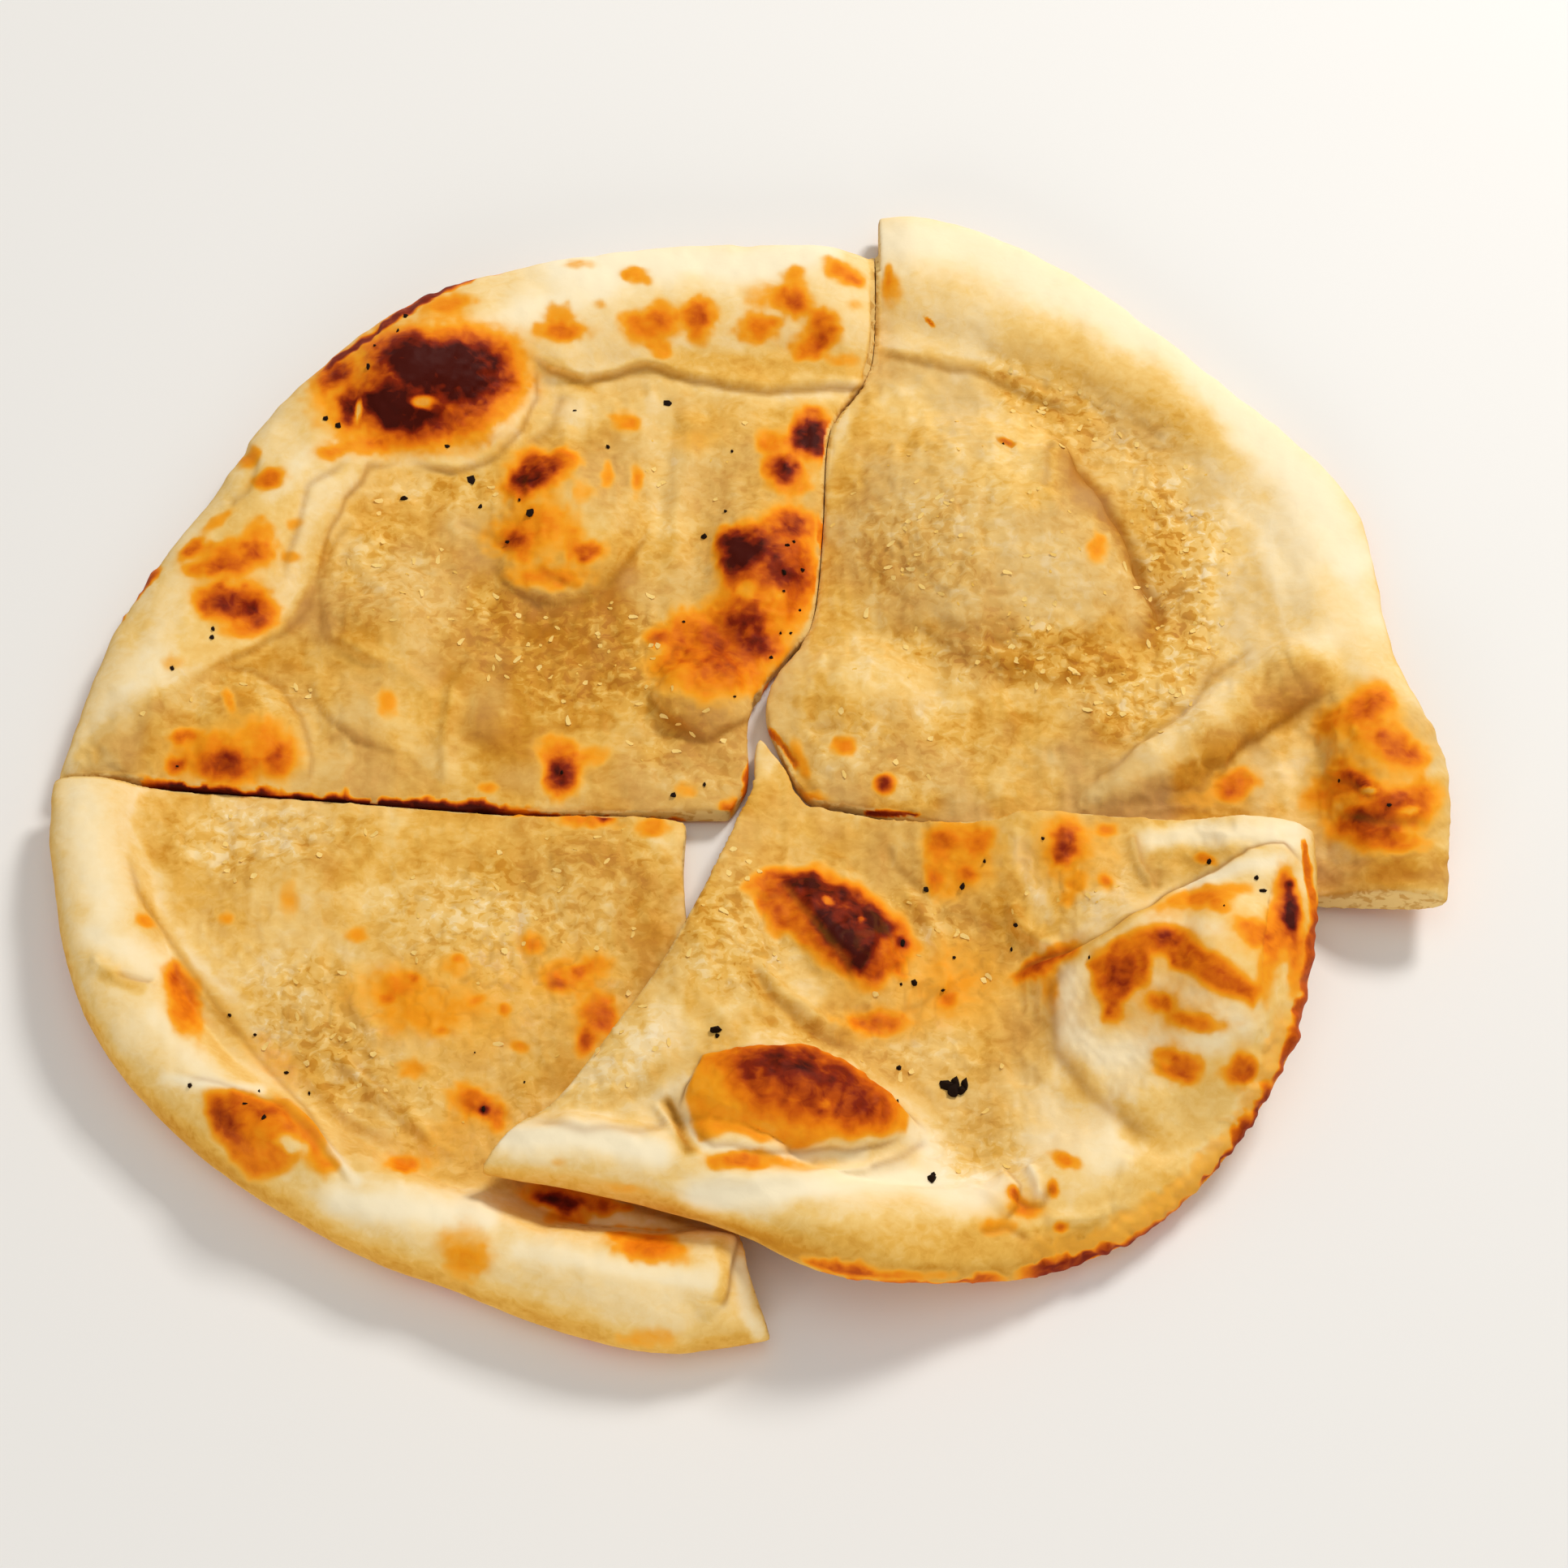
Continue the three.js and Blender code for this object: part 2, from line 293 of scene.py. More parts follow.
def fold(x, y, top, rise, shade, ledges, ridges, creases):
    """Adds ledges, ridges and creases to the relief, with painted shade and some brown along their
    grooves and feet.
    """
    for line, width, drop, reach in ledges:
        distance, side, fade = along_line(x, y, line)
        ahead = side * distance
        step = smooth(-width, width, ahead) * hump(np.maximum(ahead, 0), reach)
        rise = rise + drop * step * fade * top
        foot = hump(ahead + FOOT_PLACE * width, FOOT_WIDTH * width) * fade * top
        shade = np.maximum(shade, foot * min(1.0, LEAST_SHADE + LEDGE_SHADE * drop))
    for line, width, height in ridges:
        distance, _, fade = along_line(x, y, line)
        rise = rise + height * hump(distance, width) * fade * top
    for line, width, depth in creases:
        distance, _, fade = along_line(x, y, line)
        groove = hump(distance, width) * fade * top
        trough = hump(distance, TROUGH_WIDTH * width) * fade * top
        rise = rise - depth * (GROOVE_SHARE * groove + (1 - GROOVE_SHARE) * trough)
        shade = np.maximum(shade, groove * min(1.0, LEAST_SHADE + CREASE_SHADE * depth))
    return rise, shade


SEED_STEPS = {
    "blisters": 0, "scorches": 40, "flaky": 60, "burnt_and_shadowed": 70, "burnt relief": 75, "pale_and_highlit": 80,
    "cooler": 90, "outline x": 140, "outline y": 150, "soaked_and_shaded": 160, "streaks": 180,
}
SCORCH_RAGGED, COOLER_RAGGED = 0.3, 0.3
SCORCH_CORE, CORE_SHARE = (1.3, 0.2), 0.75
SCORCH_HALO, HALO_SHARE = (2.0, 0.5), 0.25
COOLER_EDGE = (1.2, 0.4)
OUTLINE_RAGGED = [(18, 6, 0)]
SCORCH_STRENGTH = 1.17
SCORCH_UNEVEN = [(17, 0.14, 8), (7, 0.09, 9)]


def browning(x, y, seed, scorches, browned, cooler):
    """How far the oven's heat browned the dough, from 0 to 1."""
    cold = np.ones(len(x))
    for i, mark in enumerate(scorches):
        reach = spot(x, y, mark, SCORCH_RAGGED, seed + SEED_STEPS["scorches"] + i)
        share = CORE_SHARE * smooth(*SCORCH_CORE, reach) + HALO_SHARE * smooth(*SCORCH_HALO, reach)
        cold = cold * (1 - mark[-1] * share)
    for i, (outline, softness, heat) in enumerate(browned):
        ragged_x = layered(x, y, seed + SEED_STEPS["outline x"] + i, OUTLINE_RAGGED, x)
        ragged_y = layered(x, y, seed + SEED_STEPS["outline y"] + i, OUTLINE_RAGGED, y)
        cold = cold * (1 - heat * inside_outline(ragged_x, ragged_y, outline, softness))
    cooler_seed = seed + SEED_STEPS["cooler"]
    for share, strength in spots(x, y, cooler, COOLER_EDGE, COOLER_RAGGED, cooler_seed):
        cold = 1 - (1 - cold) * (1 - strength * share)
    return np.clip((1 - cold) * layered(x, y, seed, SCORCH_UNEVEN, SCORCH_STRENGTH), 0, 1)


BURNT_AND_SHADOWED_EDGE = (1.3, 0.4)
BURNT_AND_SHADOWED_RAGGED = [(17, 0.5, 0), (7, 0.3, 1)]
BURNT_GRAIN, BURNT_ROUGHNESS = 11, 0.4


def burn_and_shadow(x, y, seed, seen, scorch, rise, burnt_and_shadowed):
    """Chars and roughens the dough along the burnt lines; some of them are painted shadow where
    edges overlap.
    """
    for i, (line, width, heat) in enumerate(burnt_and_shadowed):
        distance, _, fade = along_line(x, y, line)
        ragged = layered(x, y, seed + SEED_STEPS["burnt_and_shadowed"] + i, BURNT_AND_SHADOWED_RAGGED, 1)
        char_and_shadow = fade * seen * smooth(*BURNT_AND_SHADOWED_EDGE, distance / (width * ragged))
        scorch = np.maximum(scorch, heat * char_and_shadow)
        crags = drift(x, y, BURNT_GRAIN, seed + SEED_STEPS["burnt relief"] + i)
        rise = rise + BURNT_ROUGHNESS * char_and_shadow * crags
    return scorch, rise


MOST_BUTTER = 2
PALE_AND_HIGHLIT_EDGE = (1.45, 0.15)
PALE_AND_HIGHLIT_RAGGED = [(34, 0.3, 0), (12, 0.12, 1)]
SOAKED_AND_SHADED_EDGE = (1.3, 0.2)
SOAKED_AND_SHADED_RAGGED = 0.4
STREAK_EDGE = (1.5, 0.1)
STREAK_RAGGED = [(30, 0.35, 0), (11, 0.2, 1)]


def soak(x, y, seed, top, wander, butter, pale_and_highlit, soaked_and_shaded, streaks):
    """Takes butter from pale lines and painted highlights, and adds it where it soaked in, ran
    together or paints shade.
    """
    for i, (line, width, strength) in enumerate(pale_and_highlit):
        distance, _, _ = along_line(x, y, line)
        ragged = layered(x, y, seed + SEED_STEPS["pale_and_highlit"] + i, PALE_AND_HIGHLIT_RAGGED, 1)
        butter = butter * (1 - strength * smooth(*PALE_AND_HIGHLIT_EDGE, distance / (width * ragged)))
    soaked_and_shaded_seed = seed + SEED_STEPS["soaked_and_shaded"]
    for share, amount in spots(x, y, soaked_and_shaded, SOAKED_AND_SHADED_EDGE, SOAKED_AND_SHADED_RAGGED, soaked_and_shaded_seed):
        butter = butter + top * amount * share
    for i, (line, width, amount) in enumerate(streaks):
        distance, _, fade = along_line(x + wander, y + wander, line)
        ragged = layered(x, y, seed + SEED_STEPS["streaks"] + i, STREAK_RAGGED, 1)
        butter = butter + amount * fade * top * smooth(*STREAK_EDGE, distance / (width * ragged))
    return np.clip(butter, 0, MOST_BUTTER)


TOP_FACING = (-0.15, 0.2)
EYE_FACING = (-0.3, 0.0)
FLANK_FACING = (0.85, 0.2)
UNDERSIDE_FACING = (0.0, -0.5)
SHEET_RAGGED = [(40, 14, 32)]
SHEET_SOFTNESS = 22
FLAKY_EDGE = (1.25, 0.4)
FLAKY_RAGGED = 0.35
FLAKY_RELIEF = [(13, 0.12, 6), (8, 0.10, 7)]
LUMPS = [(70, 0.32, 70), (28, 0.23, 28), (12, 0.09, 12)]
SIDE_LUMPS, RIM_LUMPS, SHEET_LUMPS = 0.25, 0.9, 0.4
WRINKLE_LAYERS = [(34, 1.0, 3), (15, 1.0, 4)]
WRINKLE_HEIGHT = 0.28
SKIN_LAYERS = [(58, 1.0, 36), (24, 0.5, 37), (11, 0.35, 38)]
SKIN_EDGE = (-0.1, 0.35)
SKIN_HEIGHT = 0.1
CRINKLE_LAYERS = [(30, 1.0, 12), (13, 0.6, 13)]
CRINKLE_EDGE = (0.22, 0.04)
CRINKLE_DEPTH = 0.16
CRINKLE_SHADE = 0.4
BLISTER_EDGE = (1.05, 0.25)
BLISTER_RAGGED = 0.2
WANDER = [(30, 4, 11)]
SINGED_RELIEF = [(7, 1.0, 5)]
SINGED_ROUGHNESS = 0.12
UNDERSIDE_PATCHES, PATCH_MEAN = [(60, 0.5, 21)], 0.5
UNDERSIDE_GRAIN, GRAIN_MEAN = [(22, 0.4, 22)], 0.6
UNDERSIDE_BROWN, PATCH_BROWN = 0.15, 0.4
DOUGH_TONE, DOUGH_LAYERS = 0.43, [(55, 0.15, 31)]
FLANK_SHADE_TONE = 0.6
SHEET_TONE, SHEET_LAYERS = 1.08, [(62, 0.15, 33), (27, 0.15, 34), (13, 0.1, 35)]
SKIN_PALENESS = 0.3
PAINTED_SHEEN_LAYERS = [(74, 1.0, 26), (31, 0.5, 27)]
PAINTED_SHEEN_EDGE = (-0.6, 0.7)
FLAKES_OVER_PAINTED_SHEEN = 0.6
CRUMB_HEAT = 0.3
FLAKE_HEAT = (0.3, 0.1)


def bake(piece, seed, painted_sheen_strength, sheet, cuts, ledges, ridges, blisters, creases,
         pale_and_highlit, soaked_and_shaded, streaks, flaky, scorches, browned, cooler, burnt_and_shadowed):
    """Raises a quarter's relief and stores where it browned, took up butter and flaked, and its
    painted shade, sheen and highlight.

    A cut is (outward x, outward y, swelling, neighbour that it swells towards). A blister, flaky,
    scorched or cooler spot, and a soaked spot, mostly butter and at a few places painted shade, is
    (x, y, half length, half breadth, turn in degrees, strength). A ridge, crease or streaked line,
    a pale line of dry dough and painted highlight, and a burnt line, mostly char and at a few edges
    painted shadow, is (places, half width, strength), a ledge also says how far its step reaches,
    and a browned patch is (outline, softness, strength). Places and widths are in picture pixels,
    and relief is in millimetres.
    """
    mesh = piece.data
    points, normals = vertex_values(mesh, "co"), vertex_values(mesh, "normal")
    upward = normals[:, 2]
    x, y = picture_places(points)
    top = smooth(*TOP_FACING, upward)
    to_eye = np.array(eye) - points
    seen = smooth(*EYE_FACING, (normals * to_eye).sum(1) / np.linalg.norm(to_eye, axis=1))
    cut, swell = cut_faces(points, normals, cuts)
    buttered = inside_outline(layered(x, y, seed, SHEET_RAGGED, x), y, sheet, SHEET_SOFTNESS)
    flakes = np.zeros(len(x))
    flaky_seed = seed + SEED_STEPS["flaky"]
    for share, strength in spots(x, y, flaky, FLAKY_EDGE, FLAKY_RAGGED, flaky_seed):
        flakes = np.maximum(flakes, strength * share)
    flakes = flakes * top * (1 - cut)

    rise = layered(x, y, seed, LUMPS)
    rise = rise * (SIDE_LUMPS + (1 - SIDE_LUMPS) * top) * (RIM_LUMPS + SHEET_LUMPS * buttered)
    wrinkles = 1
    for layer in WRINKLE_LAYERS:
        wrinkles = wrinkles - np.abs(layered(x, y, seed, [layer]))
    rise = rise + WRINKLE_HEIGHT * top * buttered * wrinkles
    rise = rise + flakes * layered(x, y, seed, FLAKY_RELIEF)
    skin = buttered * smooth(*SKIN_EDGE, layered(x, y, seed, SKIN_LAYERS))
    crinkle = flakes * smooth(*CRINKLE_EDGE, np.abs(layered(x, y, seed, CRINKLE_LAYERS)))
    rise = rise + top * (SKIN_HEIGHT * skin - CRINKLE_DEPTH * crinkle)
    blister_seed = seed + SEED_STEPS["blisters"]
    for share, height in spots(x, y, blisters, BLISTER_EDGE, BLISTER_RAGGED, blister_seed):
        rise = rise + top * height * share
    wander = layered(x, y, seed, WANDER)
    # Crinkles, ledges and creases carry painted shade along their grooves and feet.
    rise, shade = fold(x + wander, y + wander, top, rise, CRINKLE_SHADE * crinkle,
                       ledges, ridges, creases)

    scorch = browning(x, y, seed, scorches, browned, cooler) * top * seen * (1 - cut)
    scorch, rise = burn_and_shadow(x, y, seed, seen, scorch, rise, burnt_and_shadowed)
    rise = rise + SINGED_ROUGHNESS * scorch * layered(x, y, seed, SINGED_RELIEF)
    patches = PATCH_BROWN * layered(x, y, seed, UNDERSIDE_PATCHES, PATCH_MEAN)
    patches = UNDERSIDE_BROWN + patches * layered(x, y, seed, UNDERSIDE_GRAIN, GRAIN_MEAN)
    scorch = np.maximum(scorch, smooth(*UNDERSIDE_FACING, upward) * patches * (1 - cut))

    rise = rise * (1 - cut) + swell
    points = points + normals * rise[:, None] * MILLIMETRE
    mesh.vertices.foreach_set("co", points.astype(np.float32).ravel())
    mesh.update()

    butter = layered(x, y, seed, DOUGH_LAYERS, DOUGH_TONE)
    # Steep flanks turn golden: partly the browner dough low on the rolls, partly painted shade on
    # faces turned from the light.
    butter = butter + FLANK_SHADE_TONE * smooth(*FLANK_FACING, upward)
    sheet_tone = buttered * (SHEET_TONE + layered(x, y, seed, SHEET_LAYERS))
    butter = np.maximum(butter, sheet_tone) - SKIN_PALENESS * skin
    # Painted sheen: a greyish cast on the buttered sheet where its gloss would reflect light,
    # fading where flakes lie.
    film = painted_sheen_strength * buttered * top * (1 - FLAKES_OVER_PAINTED_SHEEN * flakes)
    film = film * smooth(*PAINTED_SHEEN_EDGE, layered(x, y, seed, PAINTED_SHEEN_LAYERS))
    store(mesh, "scorch", scorch)
    store(mesh, "butter", soak(x, y, seed, top, wander, butter, pale_and_highlit, soaked_and_shaded, streaks))
    store(mesh, "film", film)
    store(mesh, "crease", shade)
    store(mesh, "crumb", cut * (scorch < CRUMB_HEAT))
    store(mesh, "flaky", flakes * smooth(*FLAKE_HEAT, scorch))


def dye(code):
    """A colour written as red, green and blue from 0 to 255, as a material takes it."""
    shares = [channel / 255 for channel in code]
    linear = [s / 12.92 if s <= 0.04045 else ((s + 0.055) / 1.055) ** 2.4 for s in shares]
    return (*linear, 1.0)


def new_material(name, finish):
    """A material with values on its shader's own sockets."""
    material = bpy.data.materials.new(name)
    material.use_nodes = True
    shader = material.node_tree.nodes["Principled BSDF"]
    for socket, value in finish.items():
        shader.inputs[socket].default_value = value
    return material


def node_of(tree, kind, **settings):
    """A new shader or geometry node with its properties set."""
    node = tree.nodes.new(kind)
    for key, value in settings.items():
        setattr(node, key, value)
    return node


def feed(tree, socket, value):
    """Gives a socket what another socket puts out, or a plain value."""
    if isinstance(value, bpy.types.NodeSocket):
        tree.links.new(value, socket)
    else:
        socket.default_value = value


def blend_colour(tree, share, first, second):
    """Mixes two colours, each a socket or a plain colour, by a share socket or number."""
    mix = node_of(tree, "ShaderNodeMix", data_type="RGBA")
    feed(tree, mix.inputs[0], share)
    feed(tree, mix.inputs[6], first)
    feed(tree, mix.inputs[7], second)
    return mix.outputs[2]


def reckon(tree, operation, first, second, clamp=False):
    """A sum, product or the like of two sockets or numbers."""
    result = node_of(tree, "ShaderNodeMath", operation=operation, use_clamp=clamp)
    feed(tree, result.inputs[0], first)
    feed(tree, result.inputs[1], second)
    return result.outputs[0]


def soft_step(tree, value, low, high):
    """0 where a socket's value is at low, 1 at high and a soft step between."""
    step = node_of(tree, "ShaderNodeMapRange", interpolation_type="SMOOTHSTEP")
    feed(tree, step.inputs["Value"], value)
    feed(tree, step.inputs["From Min"], low)
    feed(tree, step.inputs["From Max"], high)
    return step.outputs["Result"]


def colour_steps(tree, value, steps):
    """Runs a value through a row of (place, colour) steps."""
    ramp = node_of(tree, "ShaderNodeValToRGB")
    while len(ramp.color_ramp.elements) < len(steps):
        ramp.color_ramp.elements.new(0.5)
    for element, (place, code) in zip(ramp.color_ramp.elements, steps):
        element.position = place
        element.color = dye(code)
    feed(tree, ramp.inputs["Fac"], value)
    return ramp.outputs["Color"]


MOTTLE_TURN = (0, 0, 0.35)
MOTTLE_STRETCH = (0.9, 1.1, 1.0)
MOTTLE_LAYERS = [("Patch scale", "Patches", 2, 1.4), ("Grain scale", "Grain", 3, 0.6)]


def oven_mottle_group():
    """Unevenness of baked dough: soft patches and a fine grain, each from 0 to 1."""
    tree = bpy.data.node_groups.new("oven_mottle", "ShaderNodeTree")
    given = node_of(tree, "NodeGroupInput")
    result = node_of(tree, "NodeGroupOutput")
    place = node_of(tree, "ShaderNodeTexCoord")
    for scale, name, detail, curl in MOTTLE_LAYERS:
        tree.interface.new_socket(scale, in_out="INPUT", socket_type="NodeSocketFloat")
        tree.interface.new_socket(name, in_out="OUTPUT", socket_type="NodeSocketFloat")
        laid = node_of(tree, "ShaderNodeMapping")
        laid.inputs["Rotation"].default_value = MOTTLE_TURN
        laid.inputs["Scale"].default_value = MOTTLE_STRETCH
        texture = node_of(tree, "ShaderNodeTexNoise")
        texture.inputs["Detail"].default_value = detail
        texture.inputs["Distortion"].default_value = curl
        tree.links.new(place.outputs["Object"], laid.inputs["Vector"])
        tree.links.new(laid.outputs["Vector"], texture.inputs["Vector"])
        tree.links.new(given.outputs[scale], texture.inputs["Scale"])
        tree.links.new(texture.outputs["Fac"], result.inputs[name])
    return tree


DOUGH_STEPS = [
    (0.00, (253, 239, 205)),
    (0.12, (250, 225, 173)),
    (0.30, (242, 202, 122)),
    (0.50, (230, 178, 81)),
    (0.72, (209, 146, 44)),
    (1.00, (185, 116, 23)),
]
SCORCH_STEPS = [
    (0.00, (246, 204, 116)),
    (0.14, (243, 178, 66)),
    (0.28, (244, 157, 26)),
    (0.42, (236, 128, 10)),
    (0.58, (198, 85, 6)),
    (0.74, (134, 36, 4)),
    (0.92, (68, 12, 3)),
]
CREASE_BROWN_AND_SHADE = dye((156, 98, 24))
PAINTED_SHEEN_GREY = dye((206, 172, 116))
CUT_CRUMB = dye((232, 200, 130))
CRUMB_PORE = dye((204, 158, 84))
NOISE_MEAN = 0.5
PATCH_DEPTH = 0.6
LIGHT_SPECKS, LIGHT_DEPTH = (0.54, 0.61), 0.36
DARK_SPECKS, DARK_DEPTH = (0.46, 0.39), 0.45
SPECKS_EVERYWHERE = 0.25
PAINTED_SHEEN_SHARE = 0.5
SINGE_DEPTH = 0.5
BROWNED_FROM, BROWNED_FULLY = 0.02, 0.24
CREASE_SHARE = 0.8
PORE_EDGE = (0.5, 0.4)
CRUMB_SHARE = 0.85
PATCH_HEIGHT = 0.6


def baked_dough_material():
    """Dough taking its tone, scorches, painted sheen, crease brown with painted shade, and crumb
    from its mesh.
    """
    material = new_material("baked_dough", {"Roughness": 0.6, "Specular IOR Level": 0.08})
    tree = material.node_tree
    shader = tree.nodes["Principled BSDF"]
    mottle = node_of(tree, "ShaderNodeGroup", node_tree=oven_mottle_group())
    mottle.inputs["Patch scale"].default_value = 380
    mottle.inputs["Grain scale"].default_value = 520
    patches, grain = mottle.outputs["Patches"], mottle.outputs["Grain"]
    marks = {}
    for name in ("scorch", "butter", "film", "crease", "crumb", "flaky"):
        marks[name] = node_of(tree, "ShaderNodeAttribute", attribute_name=name).outputs["Fac"]

    def times(first, second, clamp=False):
        return reckon(tree, "MULTIPLY", first, second, clamp)

    spread = reckon(tree, "MINIMUM", marks["butter"], 1.0)
    uneven = times(reckon(tree, "SUBTRACT", patches, NOISE_MEAN), PATCH_DEPTH)
    tone = reckon(tree, "ADD", marks["butter"], times(uneven, spread))
    light = times(soft_step(tree, grain, *LIGHT_SPECKS), LIGHT_DEPTH)
    dark = times(soft_step(tree, grain, *DARK_SPECKS), DARK_DEPTH)
    strewn = reckon(tree, "ADD", marks["flaky"], times(spread, SPECKS_EVERYWHERE))
    specks = times(reckon(tree, "SUBTRACT", dark, light), strewn)
    tone = times(reckon(tree, "ADD", tone, specks), 1 / MOST_BUTTER, clamp=True)
    dough = colour_steps(tree, tone, DOUGH_STEPS)
    # Painted sheen: the dough greys towards pale beige where the buttered sheet would reflect
    # light.
    dough = blend_colour(tree, times(marks["film"], PAINTED_SHEEN_SHARE), dough, PAINTED_SHEEN_GREY)

    uneven = reckon(tree, "SUBTRACT", grain, NOISE_MEAN)
    singe = times(uneven, times(marks["scorch"], SINGE_DEPTH))
    heat = reckon(tree, "ADD", marks["scorch"], singe, clamp=True)
    browned = soft_step(tree, heat, BROWNED_FROM, BROWNED_FULLY)
    dough = blend_colour(tree, browned, dough, colour_steps(tree, heat, SCORCH_STEPS))
    # Painted shade, with some brown, darkens the creases, crinkles and feet of folds.
    dough = blend_colour(tree, times(marks["crease"], CREASE_SHARE), dough, CREASE_BROWN_AND_SHADE)
    crumb = blend_colour(tree, soft_step(tree, grain, *PORE_EDGE), CUT_CRUMB, CRUMB_PORE)
    dough = blend_colour(tree, times(marks["crumb"], CRUMB_SHARE), dough, crumb)
    tree.links.new(dough, shader.inputs["Base Color"])

    bump = node_of(tree, "ShaderNodeBump")
    bump.inputs["Strength"].default_value = 0.35
    bump.inputs["Distance"].default_value = 0.0002
    height = reckon(tree, "ADD", grain, times(patches, PATCH_HEIGHT))
    tree.links.new(height, bump.inputs["Height"])
    tree.links.new(bump.outputs["Normal"], shader.inputs["Normal"])
    return material


baked_dough = baked_dough_material()
UNDERSIDE_NORMAL = -0.3
FACETS_KEPT = 0.78


def thin_underside(piece):
    """Joins small facets under the bread, where the flat dough needs few."""
    facing_down = np.flatnonzero(vertex_values(piece.data, "normal")[:, 2] < UNDERSIDE_NORMAL)
    underside = piece.vertex_groups.new(name="underside")
    underside.add(facing_down.tolist(), 1.0, "REPLACE")
    thinning = piece.modifiers.new("thinning", "DECIMATE")
    thinning.ratio = FACETS_KEPT
    thinning.vertex_group = underside.name
    settle(piece)
    piece.vertex_groups.clear()


def place_quarter(piece, node):
    """Puts a baked quarter in the place of its solid."""
    thin_underside(piece)
    piece.data.materials.append(baked_dough)
    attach(piece, "root")
    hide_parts(node)


